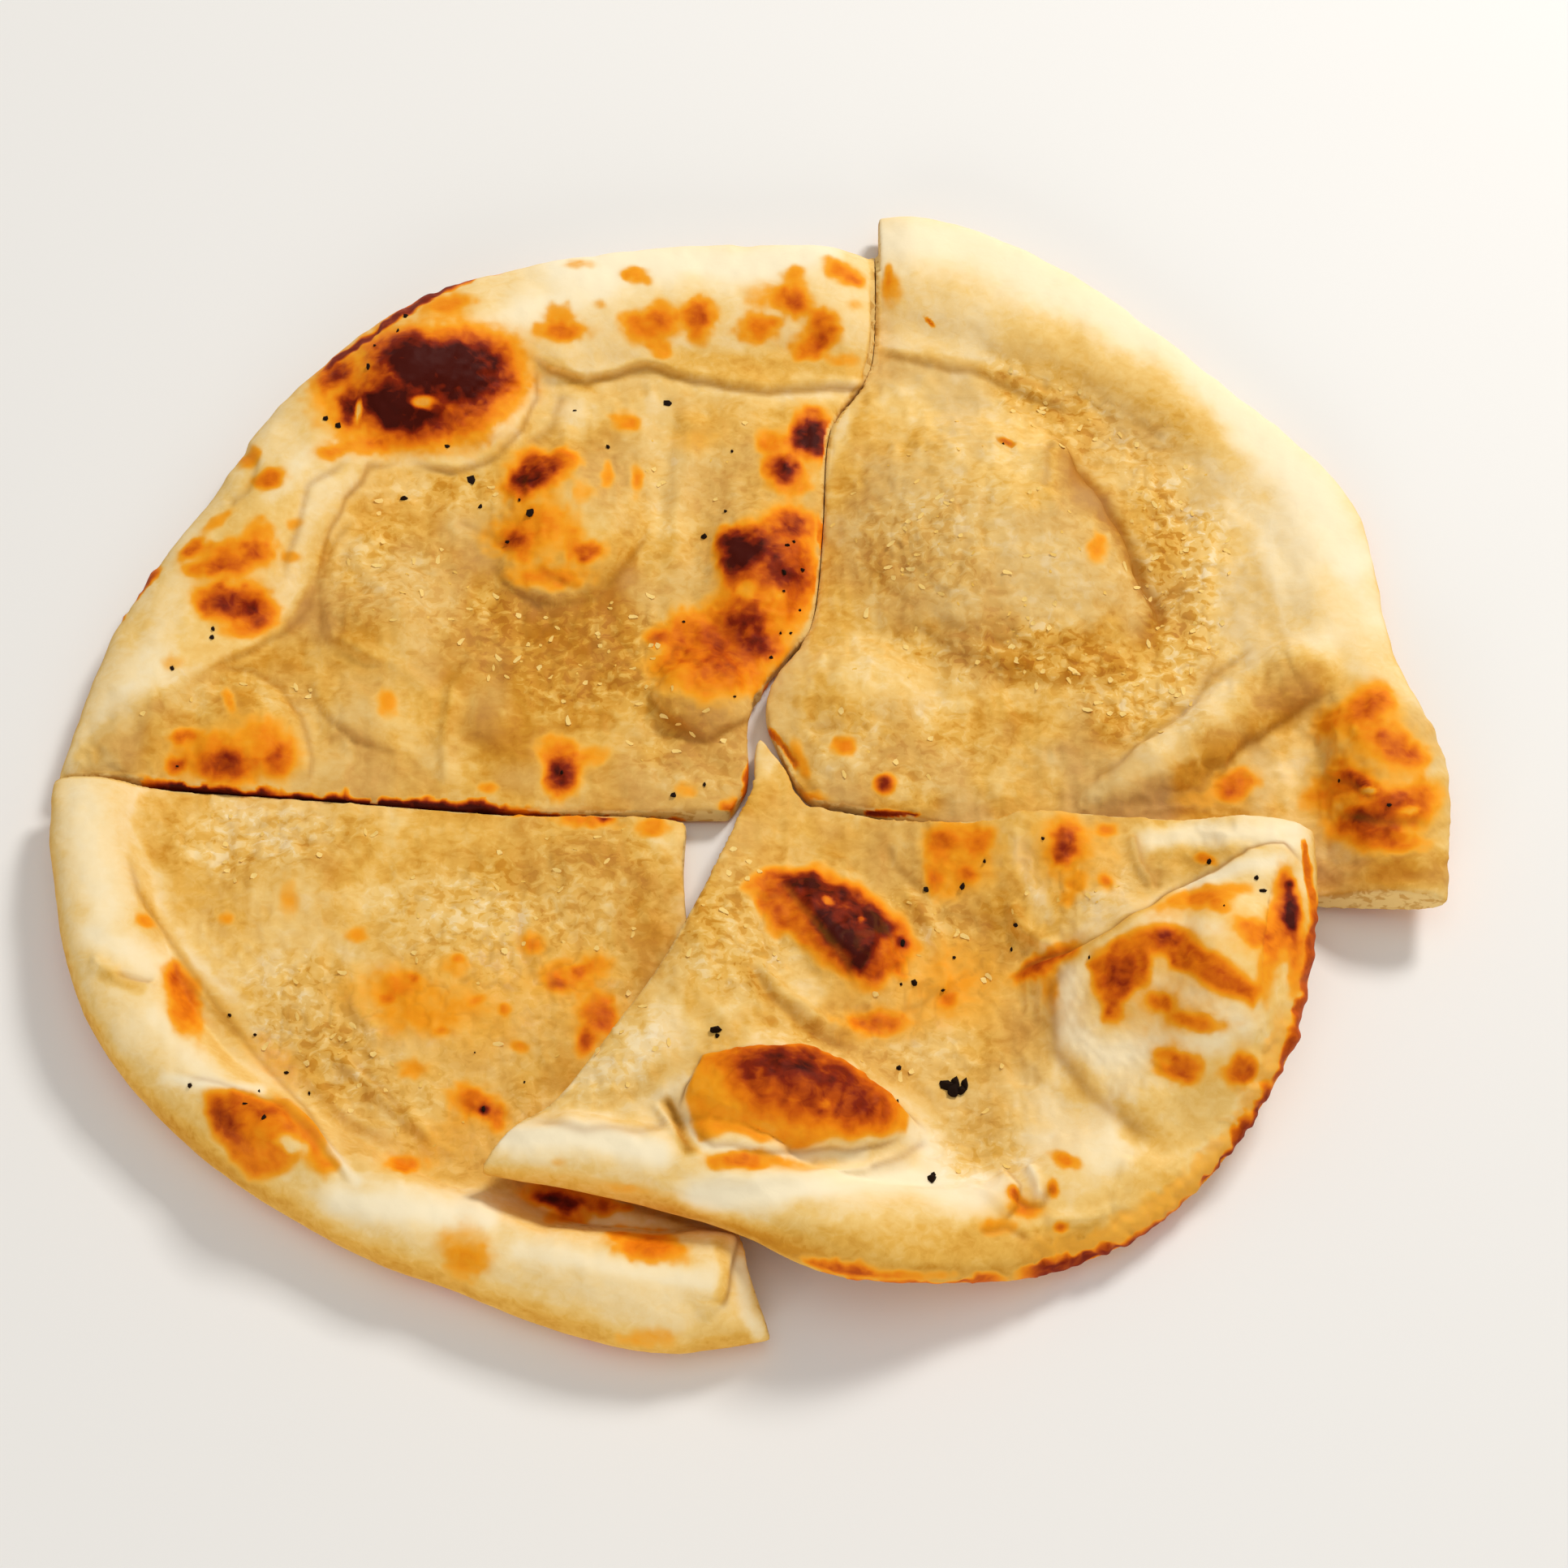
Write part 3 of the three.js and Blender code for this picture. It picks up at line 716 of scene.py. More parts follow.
back_left = fine_copy("quarter_back_left", "bread_back_left", facet=0.0005)
bake(
    back_left,
    seed=100,
    painted_sheen_strength=0.75,
    sheet=[
        (60, 1000), (90, 930), (140, 862), (215, 838), (300, 805), (350, 778), (395, 700),
        (410, 640), (450, 580), (590, 576), (640, 540), (665, 470), (790, 462), (950, 492),
        (1060, 486), (1040, 1030), (300, 1030),
    ],
    cuts=[(1, 0, 0, "quarter_back_right"), (0, -1, 0.2, None)],
    ledges=[
        # the inner foot of the rim
        ([(500, 564), (455, 575), (420, 610), (402, 660), (388, 725), (350, 778), (300, 803),
          (220, 838)], 6, 0.7, 30),
        ([(652, 430), (658, 490), (642, 530), (610, 560), (560, 580), (500, 570)], 6, 1.0, 40),
        ([(1075, 470), (1050, 478), (950, 484), (860, 470), (800, 452), (760, 460), (720, 468),
          (680, 456), (640, 425)], 6, 1.3, 40),
        # the feet of bubbles
        ([(800, 640), (780, 690), (735, 735), (680, 742), (630, 722), (598, 690)], 7, 1.0, 60),
        ([(940, 880), (870, 910), (825, 885), (790, 845)], 7, 1.2, 60),
        ([(250, 826), (310, 832), (345, 855), (368, 890), (382, 940), (378, 975)], 8, 0.8, 50),
        ([(500, 925), (440, 910), (400, 880), (380, 835)], 7, 0.6, 40),
        ([(400, 800), (396, 740), (412, 680), (440, 640)], 8, 0.5, 40),
    ],
    ridges=[
        ([(545, 970), (548, 900), (562, 850), (600, 800)], 10, 1.0),
        ([(395, 780), (440, 800), (500, 830), (540, 860)], 10, 0.8),
        ([(430, 700), (470, 650), (520, 620)], 12, 0.8),
        ([(300, 560), (345, 520), (400, 490)], 14, 0.8),
        ([(700, 520), (690, 560), (720, 600)], 12, 0.8),
        ([(850, 500), (850, 560), (830, 640), (840, 720)], 14, 1.0),
    ],
    blisters=[
        (600, 500, 60, 62, 0, 1.4), (500, 470, 90, 60, -10, 0.6), (697, 640, 98, 95, 0, 1.0),
        (470, 775, 72, 58, 0, 0.8), (440, 880, 62, 42, 0, 0.7), (295, 900, 88, 66, 0, 0.9),
        (868, 850, 80, 58, 0, 1.1), (600, 890, 44, 34, 0, 0.5), (775, 550, 60, 76, 0, 0.6),
        (935, 700, 70, 100, 0, 0.9), (300, 700, 60, 60, 0, 0.6),
    ],
    creases=[
        ([(690, 480), (684, 520), (655, 555)], 5, 0.49),
        ([(660, 700), (720, 735), (760, 720)], 5, 0.42),
        ([(560, 640), (600, 655), (640, 690)], 5, 0.42),
        ([(430, 560), (380, 600), (365, 660), (350, 720)], 5, 0.56),
        ([(320, 560), (300, 600), (280, 625)], 5, 0.42),
    ],
    pale_and_highlit=[
        # the rim, paler dough with painted highlight along its crest
        ([(690, 330), (800, 318), (900, 326), (1010, 312)], 34, 0.95),
        ([(590, 410), (650, 385), (740, 355)], 26, 0.75),
        ([(150, 880), (200, 780), (245, 680)], 30, 0.7),
        ([(330, 610), (380, 560), (440, 550)], 16, 0.7),
        ([(352, 745), (378, 650), (402, 590)], 18, 0.6),
        ([(600, 535), (636, 480)], 24, 0.9),
        # the sheet
        ([(680, 495), (720, 510)], 26, 0.5),
        ([(810, 490), (815, 560), (830, 640)], 30, 0.4),
        ([(700, 620), (745, 655)], 26, 0.4),
        ([(440, 600), (520, 600)], 18, 0.45),
        ([(440, 690), (500, 720), (520, 780)], 50, 0.4),
        ([(430, 880), (500, 895)], 28, 0.35),
        ([(300, 850), (330, 880)], 26, 0.3),
        ([(850, 700), (840, 740)], 26, 0.4),
    ],
    soaked_and_shaded=[
        (600, 780, 420, 230, 0, 0.29), (680, 810, 150, 60, 15, 0.3), (300, 872, 50, 30, 0, 0.4),
        (560, 760, 60, 80, 0, 0.15), (640, 900, 120, 40, 0, 0.3), (860, 900, 70, 50, 0, 0.35),
        (180, 900, 70, 40, -20, 0.35), (720, 770, 70, 30, 0, 0.3), (860, 600, 60, 30, 0, 0.2),
        (880, 535, 60, 30, 0, 0.3),
    ],
    streaks=[
        ([(640, 440), (720, 470), (800, 455), (900, 476), (1050, 482)], 9, 0.5),
        ([(790, 436), (900, 452), (1000, 458), (1080, 450)], 22, 0.6),
        ([(330, 560), (300, 640), (240, 740), (200, 820)], 40, 0.2),
        ([(600, 700), (660, 745), (740, 745), (800, 690)], 14, 0.4),
        ([(230, 838), (300, 806), (350, 780), (395, 710), (410, 640)], 9, 0.4),
        ([(780, 850), (830, 895), (880, 915)], 10, 0.4),
    ],
    flaky=[
        (700, 800, 210, 80, 15, 1.0), (480, 710, 90, 80, 0, 0.5), (860, 640, 120, 150, 0, 0.2),
        (560, 610, 120, 30, 0, 0.4), (860, 930, 90, 60, 0, 0.5), (300, 860, 120, 50, 0, 0.25),
    ],
    scorches=[
        # the charred blister on the rim
        (520, 478, 125, 78, -8, 0.45), (545, 455, 85, 42, 5, 0.45), (585, 455, 46, 42, 0, 0.52),
        (518, 450, 36, 28, 0, 0.75), (565, 450, 32, 34, 0, 0.50), (495, 512, 50, 25, 14, 0.75),
        (470, 495, 24, 20, 0, 0.60), (432, 500, 16, 26, 0, 0.55), (490, 425, 30, 18, -20, 0.35),
        (412, 462, 26, 14, -45, 0.50), (580, 520, 40, 22, -20, 0.28), (460, 548, 60, 12, -5, 0.20),
        # spots on the left rim
        (550, 375, 36, 14, -10, 0.28), (330, 590, 24, 13, -15, 0.42), (308, 566, 20, 10, -40, 0.30),
        (268, 640, 26, 8, -35, 0.24), (237, 676, 20, 9, -40, 0.40), (285, 690, 54, 26, -5, 0.42),
        (320, 662, 20, 30, 0, 0.30), (245, 702, 28, 10, 0, 0.22), (290, 745, 48, 28, 10, 0.55),
        (262, 738, 22, 18, 0, 0.32), (318, 762, 22, 18, 0, 0.34), (300, 778, 30, 11, 0, 0.28),
        (362, 645, 14, 10, 0, 0.22), (360, 686, 14, 8, 0, 0.20), (405, 560, 16, 9, 0, 0.24),
        (215, 815, 20, 12, 0, 0.15),
        # the bubble at the lower left
        (225, 906, 18, 10, 0, 0.34), (218, 945, 14, 12, 0, 0.42), (280, 945, 38, 22, 0, 0.46),
        (330, 915, 40, 24, 30, 0.22), (345, 940, 20, 26, 0, 0.26), (282, 868, 8, 17, -20, 0.25),
        (250, 925, 40, 24, 0, 0.16), (290, 930, 110, 46, 0, 0.14),
        # along the front cut
        (478, 868, 16, 20, 0, 0.25), (602, 972, 14, 10, 0, 0.30), (690, 930, 34, 24, 20, 0.34),
        (692, 960, 22, 28, 20, 0.68), (735, 930, 20, 14, 0, 0.20),
        # spots on the back rim
        (785, 340, 20, 12, 15, 0.30), (715, 326, 22, 8, 0, 0.15), (690, 385, 22, 14, 0, 0.22),
        (692, 408, 34, 15, 0, 0.36), (738, 375, 11, 8, 0, 0.16), (798, 402, 40, 24, 0, 0.36),
        (815, 384, 18, 18, 0, 0.22), (815, 432, 16, 14, 0, 0.26), (862, 390, 24, 23, 0, 0.44),
        (862, 418, 16, 12, 0, 0.20), (935, 405, 28, 20, 0, 0.38), (935, 362, 27, 22, 0, 0.16),
        (978, 370, 24, 23, 0, 0.46), (978, 338, 16, 11, 0, 0.24), (1036, 334, 27, 14, 20, 0.36),
        (1056, 345, 14, 8, 30, 0.28), (1017, 404, 24, 24, 0, 0.44), (998, 428, 30, 18, -10, 0.38),
        (1055, 375, 14, 11, 0, 0.14), (1040, 446, 24, 12, 0, 0.20),
        # the bubble in the middle
        (770, 522, 21, 19, 0, 0.32), (655, 590, 30, 24, -15, 0.62), (640, 602, 28, 16, 0, 0.35),
        (690, 575, 28, 20, 0, 0.40), (655, 568, 20, 16, 0, 0.30), (748, 588, 9, 21, 0, 0.26),
        (784, 596, 10, 22, 0, 0.28), (720, 610, 18, 14, 0, 0.20), (660, 655, 64, 38, 0, 0.32),
        (630, 668, 22, 16, 0, 0.30), (645, 680, 14, 18, 0, 0.24), (722, 685, 22, 15, 0, 0.48),
        (680, 714, 58, 18, 0, 0.32),
        # the bubbles along the right cut
        (860, 545, 50, 22, 0, 0.12), (997, 535, 24, 32, 0, 0.78), (1010, 540, 10, 30, 0, 0.30),
        (965, 580, 24, 18, 0, 0.68), (950, 545, 22, 20, 0, 0.34), (975, 600, 30, 12, 0, 0.24),
        (912, 680, 29, 28, 0, 0.75), (905, 702, 20, 24, 0, 0.50), (940, 690, 30, 40, 0, 0.34),
        (975, 700, 34, 76, 0, 0.55), (925, 750, 26, 40, 0, 0.34), (940, 796, 26, 20, 0, 0.45),
        (975, 645, 34, 20, 0, 0.34), (890, 785, 74, 48, 0, 0.50), (880, 838, 74, 38, 0, 0.32),
        # loose spots
        (808, 786, 16, 13, 0, 0.34), (815, 820, 26, 14, 0, 0.20), (902, 1000, 16, 20, 0, 0.50),
        (845, 975, 20, 14, 0, 0.20), (640, 810, 120, 50, 15, 0.06),
    ],
    browned=[],
    cooler=[
        (520, 496, 19, 10, 0, 0.75), (441, 508, 5, 18, 10, 0.8), (922, 728, 15, 13, 0, 0.5),
        (960, 742, 10, 16, 0, 0.3),
    ],
    burnt_and_shadowed=[
        # the rim's outer edge
        ([(385, 476), (412, 444), (437, 427), (498, 383), (558, 349), (639, 323),
          (730, 305)], 5, 0.75),
        ([(147, 768), (162, 740), (202, 692)], 5, 0.6),
        # edges of the cuts; the front cut's dark band is char with painted shadow of the gap under
        # it
        ([(150, 966), (230, 974), (320, 984), (450, 993), (560, 998), (690, 1005)], 12, 0.92),
        ([(600, 1004), (700, 1008), (870, 1014)], 6, 0.7),
        ([(915, 1012), (925, 930), (940, 850), (975, 815)], 5, 0.55),
        ([(1006, 620), (1014, 720), (995, 800)], 4, 0.45),
    ],
)
place_quarter(back_left, "quarter_back_left")

# The back right quarter: the same dough, with the broadest and palest rim. Inside it has puffed
# into one large dome with a deep fold on its right, and a raised pleat runs to the scorched
# corner. It lies loose, close beside the back left one.
back_right = fine_copy("quarter_back_right", "bread_back_right", facet=0.00048)
bake(
    back_right,
    seed=300,
    painted_sheen_strength=1.0,
    sheet=[
        (1060, 425), (1180, 448), (1290, 478), (1400, 505), (1480, 560), (1540, 650), (1565, 720),
        (1590, 790), (1670, 830), (1790, 900), (1810, 1100), (900, 1060), (900, 850), (1000, 650),
    ],
    cuts=[(-1, 0, 0, "quarter_back_left"), (0, -1, 0.2, None)],
    ledges=[
        # the dome's foot
        ([(1285, 530), (1310, 560), (1350, 610), (1385, 670), (1400, 710), (1420, 750),
          (1432, 795)], 7, 2.0, 100),
        ([(1390, 822), (1330, 836), (1260, 828), (1190, 802), (1100, 745)], 14, 0.5, 60),
        # the corner and the rim
        ([(1640, 848), (1590, 880), (1540, 915), (1490, 955)], 8, 1.0, 40),
        ([(1330, 510), (1280, 492), (1200, 458), (1140, 446), (1070, 428)], 6, 0.8, 40),
        ([(1700, 990), (1670, 965), (1625, 950)], 6, 0.6, 40),
    ],
    ridges=[
        ([(1120, 385), (1250, 415), (1360, 455), (1450, 520), (1530, 610), (1575, 700),
          (1590, 780)], 40, 0.8),
        ([(1340, 990), (1420, 935), (1490, 875), (1550, 825), (1640, 785)], 26, 1.8),
        ([(1470, 560), (1490, 640), (1480, 740), (1460, 830)], 24, 0.6),
        ([(1120, 560), (1180, 545), (1250, 560)], 26, 0.4),
        ([(1290, 560), (1280, 600), (1300, 650)], 9, 0.8),
    ],
    blisters=[
        (1190, 620, 150, 140, 30, 1.0), (1060, 850, 90, 70, 0, 0.9), (1340, 740, 60, 60, 0, 0.7),
        (1210, 890, 90, 50, 0, 0.6), (1680, 900, 80, 60, 0, 1.0), (1700, 1000, 70, 40, 0, 0.7),
    ],
    creases=[
        ([(1292, 545), (1286, 580), (1280, 615)], 6, 0.70),
        ([(1335, 978), (1400, 925), (1468, 872), (1490, 835), (1550, 793)], 6, 0.6),
        ([(1225, 545), (1250, 552)], 5, 0.56),
        ([(1306, 556), (1340, 592), (1375, 645), (1400, 700), (1418, 735), (1434, 795)], 10, 1.60),
        ([(955, 900), (985, 950), (1010, 985)], 6, 0.56),
        ([(1640, 1000), (1700, 1015), (1760, 1010)], 6, 0.56),
        ([(1150, 760), (1210, 785), (1290, 800)], 7, 0.42),
    ],
    pale_and_highlit=[
        # the rim: paler dough with painted highlight where it faces the window
        ([(1090, 295), (1200, 300), (1330, 365), (1440, 430), (1540, 520), (1630, 615),
          (1665, 690)], 40, 0.85),
        ([(1120, 490), (1190, 520), (1260, 560)], 56, 0.45),
        ([(1200, 620), (1290, 690)], 44, 0.3),
        ([(1590, 620), (1600, 700)], 50, 0.6),
        ([(1480, 590), (1515, 680), (1520, 780)], 60, 0.45),
        ([(1670, 700), (1695, 760)], 26, 0.5),
        ([(1060, 830), (1120, 860)], 40, 0.3),
        ([(1350, 982), (1430, 925), (1495, 868), (1555, 820), (1635, 788)], 20, 0.45),
        ([(1560, 960), (1600, 940)], 24, 0.4),
        ([(1745, 960), (1760, 950)], 14, 0.5),
    ],
    soaked_and_shaded=[
        (1110, 720, 90, 50, 40, 0.2), (1250, 790, 120, 40, 12, 0.2), (1440, 620, 26, 60, -10, 0.2),
        (1322, 595, 30, 60, -30, 0.5), (1320, 900, 100, 40, 0, 0.25), (1475, 985, 110, 34, -5, 0.8),
        # at (1700, 1085) the corner's foot is darkened partly as painted shade
        (1330, 840, 60, 40, 0, 0.15), (1700, 1085, 90, 40, 0, 0.8), (1130, 1000, 120, 20, 0, 0.3),
    ],
    streaks=[
        ([(1060, 425), (1100, 436), (1170, 448), (1240, 468), (1300, 482)], 8, 0.55),
        ([(1200, 455), (1300, 470), (1400, 500), (1500, 555), (1540, 600)], 22, 0.3),
        ([(1200, 405), (1320, 440), (1430, 490), (1520, 560)], 34, 0.3),
        ([(1290, 545), (1350, 612), (1390, 690), (1425, 770), (1415, 815)], 14, 0.6),
        ([(1090, 740), (1190, 800), (1300, 832), (1420, 808)], 24, 0.25),
        ([(1425, 975), (1500, 930), (1565, 878), (1650, 835)], 20, 0.55),
        ([(1305, 562), (1335, 602), (1365, 652), (1392, 704)], 18, 0.45),
        ([(1600, 1020), (1690, 1045), (1780, 1040)], 14, 0.35),
    ],
    flaky=[
        (1140, 670, 110, 100, 0, 0.7), (1270, 810, 160, 50, 8, 1.0), (1450, 720, 60, 190, -5, 1.0),
        (1398, 862, 80, 60, 0, 0.8), (1290, 720, 290, 200, 10, 0.25), (1330, 520, 150, 40, 30, 0.7),
        (1120, 920, 130, 70, 0, 0.4),
    ],
    scorches=[
        # the puffed corner
        (1665, 885, 40, 28, -10, 0.24), (1695, 865, 26, 28, 0, 0.34), (1640, 895, 30, 18, 0, 0.16),
        (1712, 920, 34, 22, 10, 0.36), (1738, 935, 22, 14, 0, 0.28), (1650, 972, 34, 18, 15, 0.22),
        (1625, 985, 26, 16, 0, 0.2), (1676, 966, 30, 14, 40, 0.5), (1715, 990, 26, 16, 0, 0.42),
        (1752, 985, 26, 24, 0, 0.34), (1690, 1018, 54, 22, -5, 0.5), (1680, 1006, 30, 10, 0, 0.34),
        (1725, 1040, 40, 12, 0, 0.28), (1690, 960, 84, 90, -20, 0.14),
        # below the pleat
        (1520, 970, 32, 24, -20, 0.42), (1470, 985, 40, 14, 0, 0.12),
        # near the point
        (1040, 920, 17, 14, 0, 0.36), (1090, 968, 15, 14, 0, 0.6), (1000, 985, 24, 12, 0, 0.25),
        (985, 935, 10, 30, -20, 0.28),
        # rim and dome
        (1098, 360, 16, 24, 0, 0.22), (1095, 335, 6, 14, 0, 0.20), (1345, 682, 14, 22, 10, 0.30),
        (1145, 396, 10, 3, 45, 0.45), (1240, 548, 12, 4, 20, 0.40),
    ],
    browned=[],
    cooler=[
        (1690, 978, 12, 5, 10, 0.7), (1735, 1000, 14, 5, -10, 0.5),
    ],
    burnt_and_shadowed=[
        # painted shadow along the edges where this quarter meets the front right one
        ([(945, 895), (960, 915), (985, 950)], 5, 0.55),
        ([(1060, 1000), (1095, 1002), (1140, 1004)], 4, 0.75),
    ],
)
place_quarter(back_right, "quarter_back_right")

# The front left quarter: the same dough, with a round puffed roll along the front and a thin
# buttery sheet behind it. It lies loose, and its right edge is under the quarter beside it.
front_left = fine_copy("quarter_front_left", "bread_front_left", facet=0.00044)
bake(
    front_left,
    seed=500,
    painted_sheen_strength=0.35,
    sheet=[
        (150, 1010), (200, 1100), (250, 1190), (310, 1260), (370, 1330), (400, 1400), (440, 1450),
        (640, 1480), (900, 1400), (900, 960), (170, 960),
    ],
    cuts=[(0, 1, 0.15, None), (1, 0, 0, None)],
    ledges=[
        ([(150, 1040), (165, 1100), (210, 1170), (262, 1240), (310, 1300), (370, 1365),
          (440, 1460)], 8, 0.7, 30),
        ([(215, 1325), (270, 1338), (330, 1362), (385, 1408), (430, 1462)], 7, 0.5, 30),
        ([(905, 1520), (898, 1560), (886, 1615)], 6, 1.2, 40),
        ([(630, 1475), (700, 1458), (760, 1478), (810, 1500), (900, 1518)], 6, 0.5, 30),
    ],
    ridges=[
        ([(110, 1180), (150, 1205), (195, 1220)], 8, 0.8),
        ([(335, 1352), (390, 1402), (440, 1460)], 6, 1.0),
        ([(400, 1290), (450, 1330), (500, 1375), (540, 1410)], 9, 0.8),
        ([(370, 1320), (420, 1370), (480, 1400)], 9, 0.6),
        ([(430, 1180), (440, 1240), (470, 1290)], 12, 0.6),
    ],
    blisters=[
        (560, 1250, 110, 70, 0, 0.6), (720, 1080, 90, 60, 0, 0.5), (320, 1390, 70, 40, 30, 0.8),
        (350, 1080, 110, 60, 0, 0.5), (690, 1480, 46, 26, 5, 0.8),
    ],
    creases=[
        ([(225, 1205), (260, 1245), (300, 1285)], 5, 0.42),
        ([(430, 1300), (470, 1340), (510, 1385)], 5, 0.49),
        ([(140, 1195), (190, 1212)], 5, 0.70),
        ([(640, 1110), (640, 1160), (660, 1210)], 5, 0.35),
    ],
    pale_and_highlit=[
        # the roll: paler dough with painted highlight along its top; the later lines lie on the
        # sheet
        ([(100, 985), (108, 1060), (130, 1120)], 30, 0.65),
        ([(110, 1150), (160, 1170), (190, 1190)], 22, 0.75),
        ([(205, 1330), (250, 1335), (320, 1345)], 10, 0.8),
        ([(190, 1250), (260, 1330)], 16, 0.6),
        ([(420, 1480), (500, 1490), (600, 1500)], 24, 0.9),
        ([(345, 1365), (400, 1410), (440, 1455)], 7, 0.7),
        ([(640, 1540), (760, 1560), (870, 1580)], 18, 0.7),
        ([(330, 1030), (240, 1010)], 30, 0.3),
        ([(330, 1090), (560, 1180), (560, 1330)], 170, 0.18),
        ([(690, 1090), (740, 1110)], 30, 0.25),
        ([(520, 1280), (560, 1270)], 24, 0.3),
        ([(400, 1300), (440, 1320)], 24, 0.35),
        ([(910, 1560), (920, 1620), (935, 1645)], 10, 0.6),
    ],
    soaked_and_shaded=[
        (280, 1250, 60, 40, 40, 0.3), (440, 1060, 180, 40, 0, 0.3), (700, 1080, 120, 50, 0, 0.3),
        (560, 1230, 120, 60, 0, 0.2), (400, 1310, 70, 50, 40, 0.25), (660, 1330, 70, 40, -20, 0.4),
        (200, 1050, 40, 60, 0, 0.2), (790, 1140, 40, 80, 20, 0.35),
    ],
    streaks=[
        ([(160, 1080), (215, 1165), (265, 1240), (315, 1305)], 10, 0.4),
        ([(640, 1480), (700, 1462), (760, 1482), (880, 1515)], 14, 0.6),
        ([(880, 1530), (890, 1570), (882, 1610)], 8, 0.5),
        ([(120, 1195), (185, 1225)], 10, 0.4),
        ([(150, 1300), (260, 1440), (420, 1560), (600, 1640), (800, 1680)], 40, 0.35),
    ],
    flaky=[
        (330, 1030, 140, 50, 0, 0.6), (400, 1280, 120, 80, 40, 0.8), (600, 1180, 170, 130, 0, 0.75),
        (720, 1080, 120, 80, 0, 0.5), (560, 1380, 120, 60, 0, 0.5),
    ],
    scorches=[
        # spots on the left roll
        (278, 1382, 18, 36, -35, 0.24), (312, 1366, 34, 12, 20, 0.2),
        (226, 1234, 24, 52, -14, 0.42), (215, 1205, 14, 16, 0, 0.20), (176, 1136, 16, 10, 35, 0.26),
        # freckles on the sheet
        (500, 1435, 24, 12, 0, 0.32), (508, 1318, 22, 12, 0, 0.22), (585, 1356, 36, 20, 15, 0.36),
        (596, 1368, 8, 7, 0, 0.50), (612, 1378, 12, 20, 0, 0.28), (495, 1215, 26, 18, 0, 0.15),
        (478, 1232, 9, 7, 0, 0.24), (512, 1206, 10, 6, 30, 0.22), (438, 1152, 17, 12, 0, 0.24),
        (656, 1162, 16, 14, 0, 0.30), (560, 1190, 18, 14, 0, 0.13), (566, 1182, 8, 6, 0, 0.2),
        (590, 1232, 10, 6, -20, 0.2), (622, 1246, 8, 8, 0, 0.22), (545, 1272, 9, 6, 0, 0.2),
        (640, 1290, 12, 7, 20, 0.2), (540, 1250, 70, 30, 0, 0.10), (700, 1206, 36, 22, 0, 0.24),
        (688, 1212, 14, 9, 0, 0.26), (712, 1196, 10, 8, 0, 0.26), (738, 1190, 22, 16, 0, 0.2),
        (738, 1255, 26, 30, 20, 0.40), (722, 1285, 11, 18, 20, 0.38), (280, 1132, 12, 10, 0, 0.24),
        (356, 1110, 16, 30, 0, 0.18), (720, 1010, 44, 13, 5, 0.32), (805, 1022, 26, 14, 0, 0.28),
        (745, 1006, 10, 7, 0, 0.50),
        # the roll's right end
        (690, 1482, 36, 14, 10, 0.72), (700, 1504, 28, 10, 0, 0.34), (745, 1488, 16, 12, 0, 0.50),
        (772, 1490, 14, 7, 0, 0.40), (690, 1470, 60, 16, 0, 0.30), (800, 1537, 50, 22, 8, 0.40),
        (760, 1522, 14, 10, 0, 0.20), (570, 1538, 44, 44, 0, 0.16), (578, 1556, 34, 22, 0, 0.12),
        (800, 1648, 46, 16, 0, 0.18),
        # broad faint browning
        (620, 1230, 190, 100, 0, 0.11), (480, 1230, 90, 50, 0, 0.10), (340, 1310, 60, 30, 40, 0.14),
        (560, 1400, 110, 40, -10, 0.12),
    ],
    browned=[
        # the spot on the left roll
        ([(250, 1355), (270, 1346), (305, 1350), (335, 1364), (360, 1375), (390, 1400), (415, 1440),
          (400, 1450), (370, 1425), (342, 1450), (312, 1456), (280, 1426), (258, 1390)], 15, 0.36),
    ],
    cooler=[
        (360, 1412, 22, 11, 20, 0.85),
    ],
    burnt_and_shadowed=[
        ([(620, 1006), (720, 1000), (850, 1004)], 5, 0.5),
    ],
)
place_quarter(front_left, "quarter_front_left")

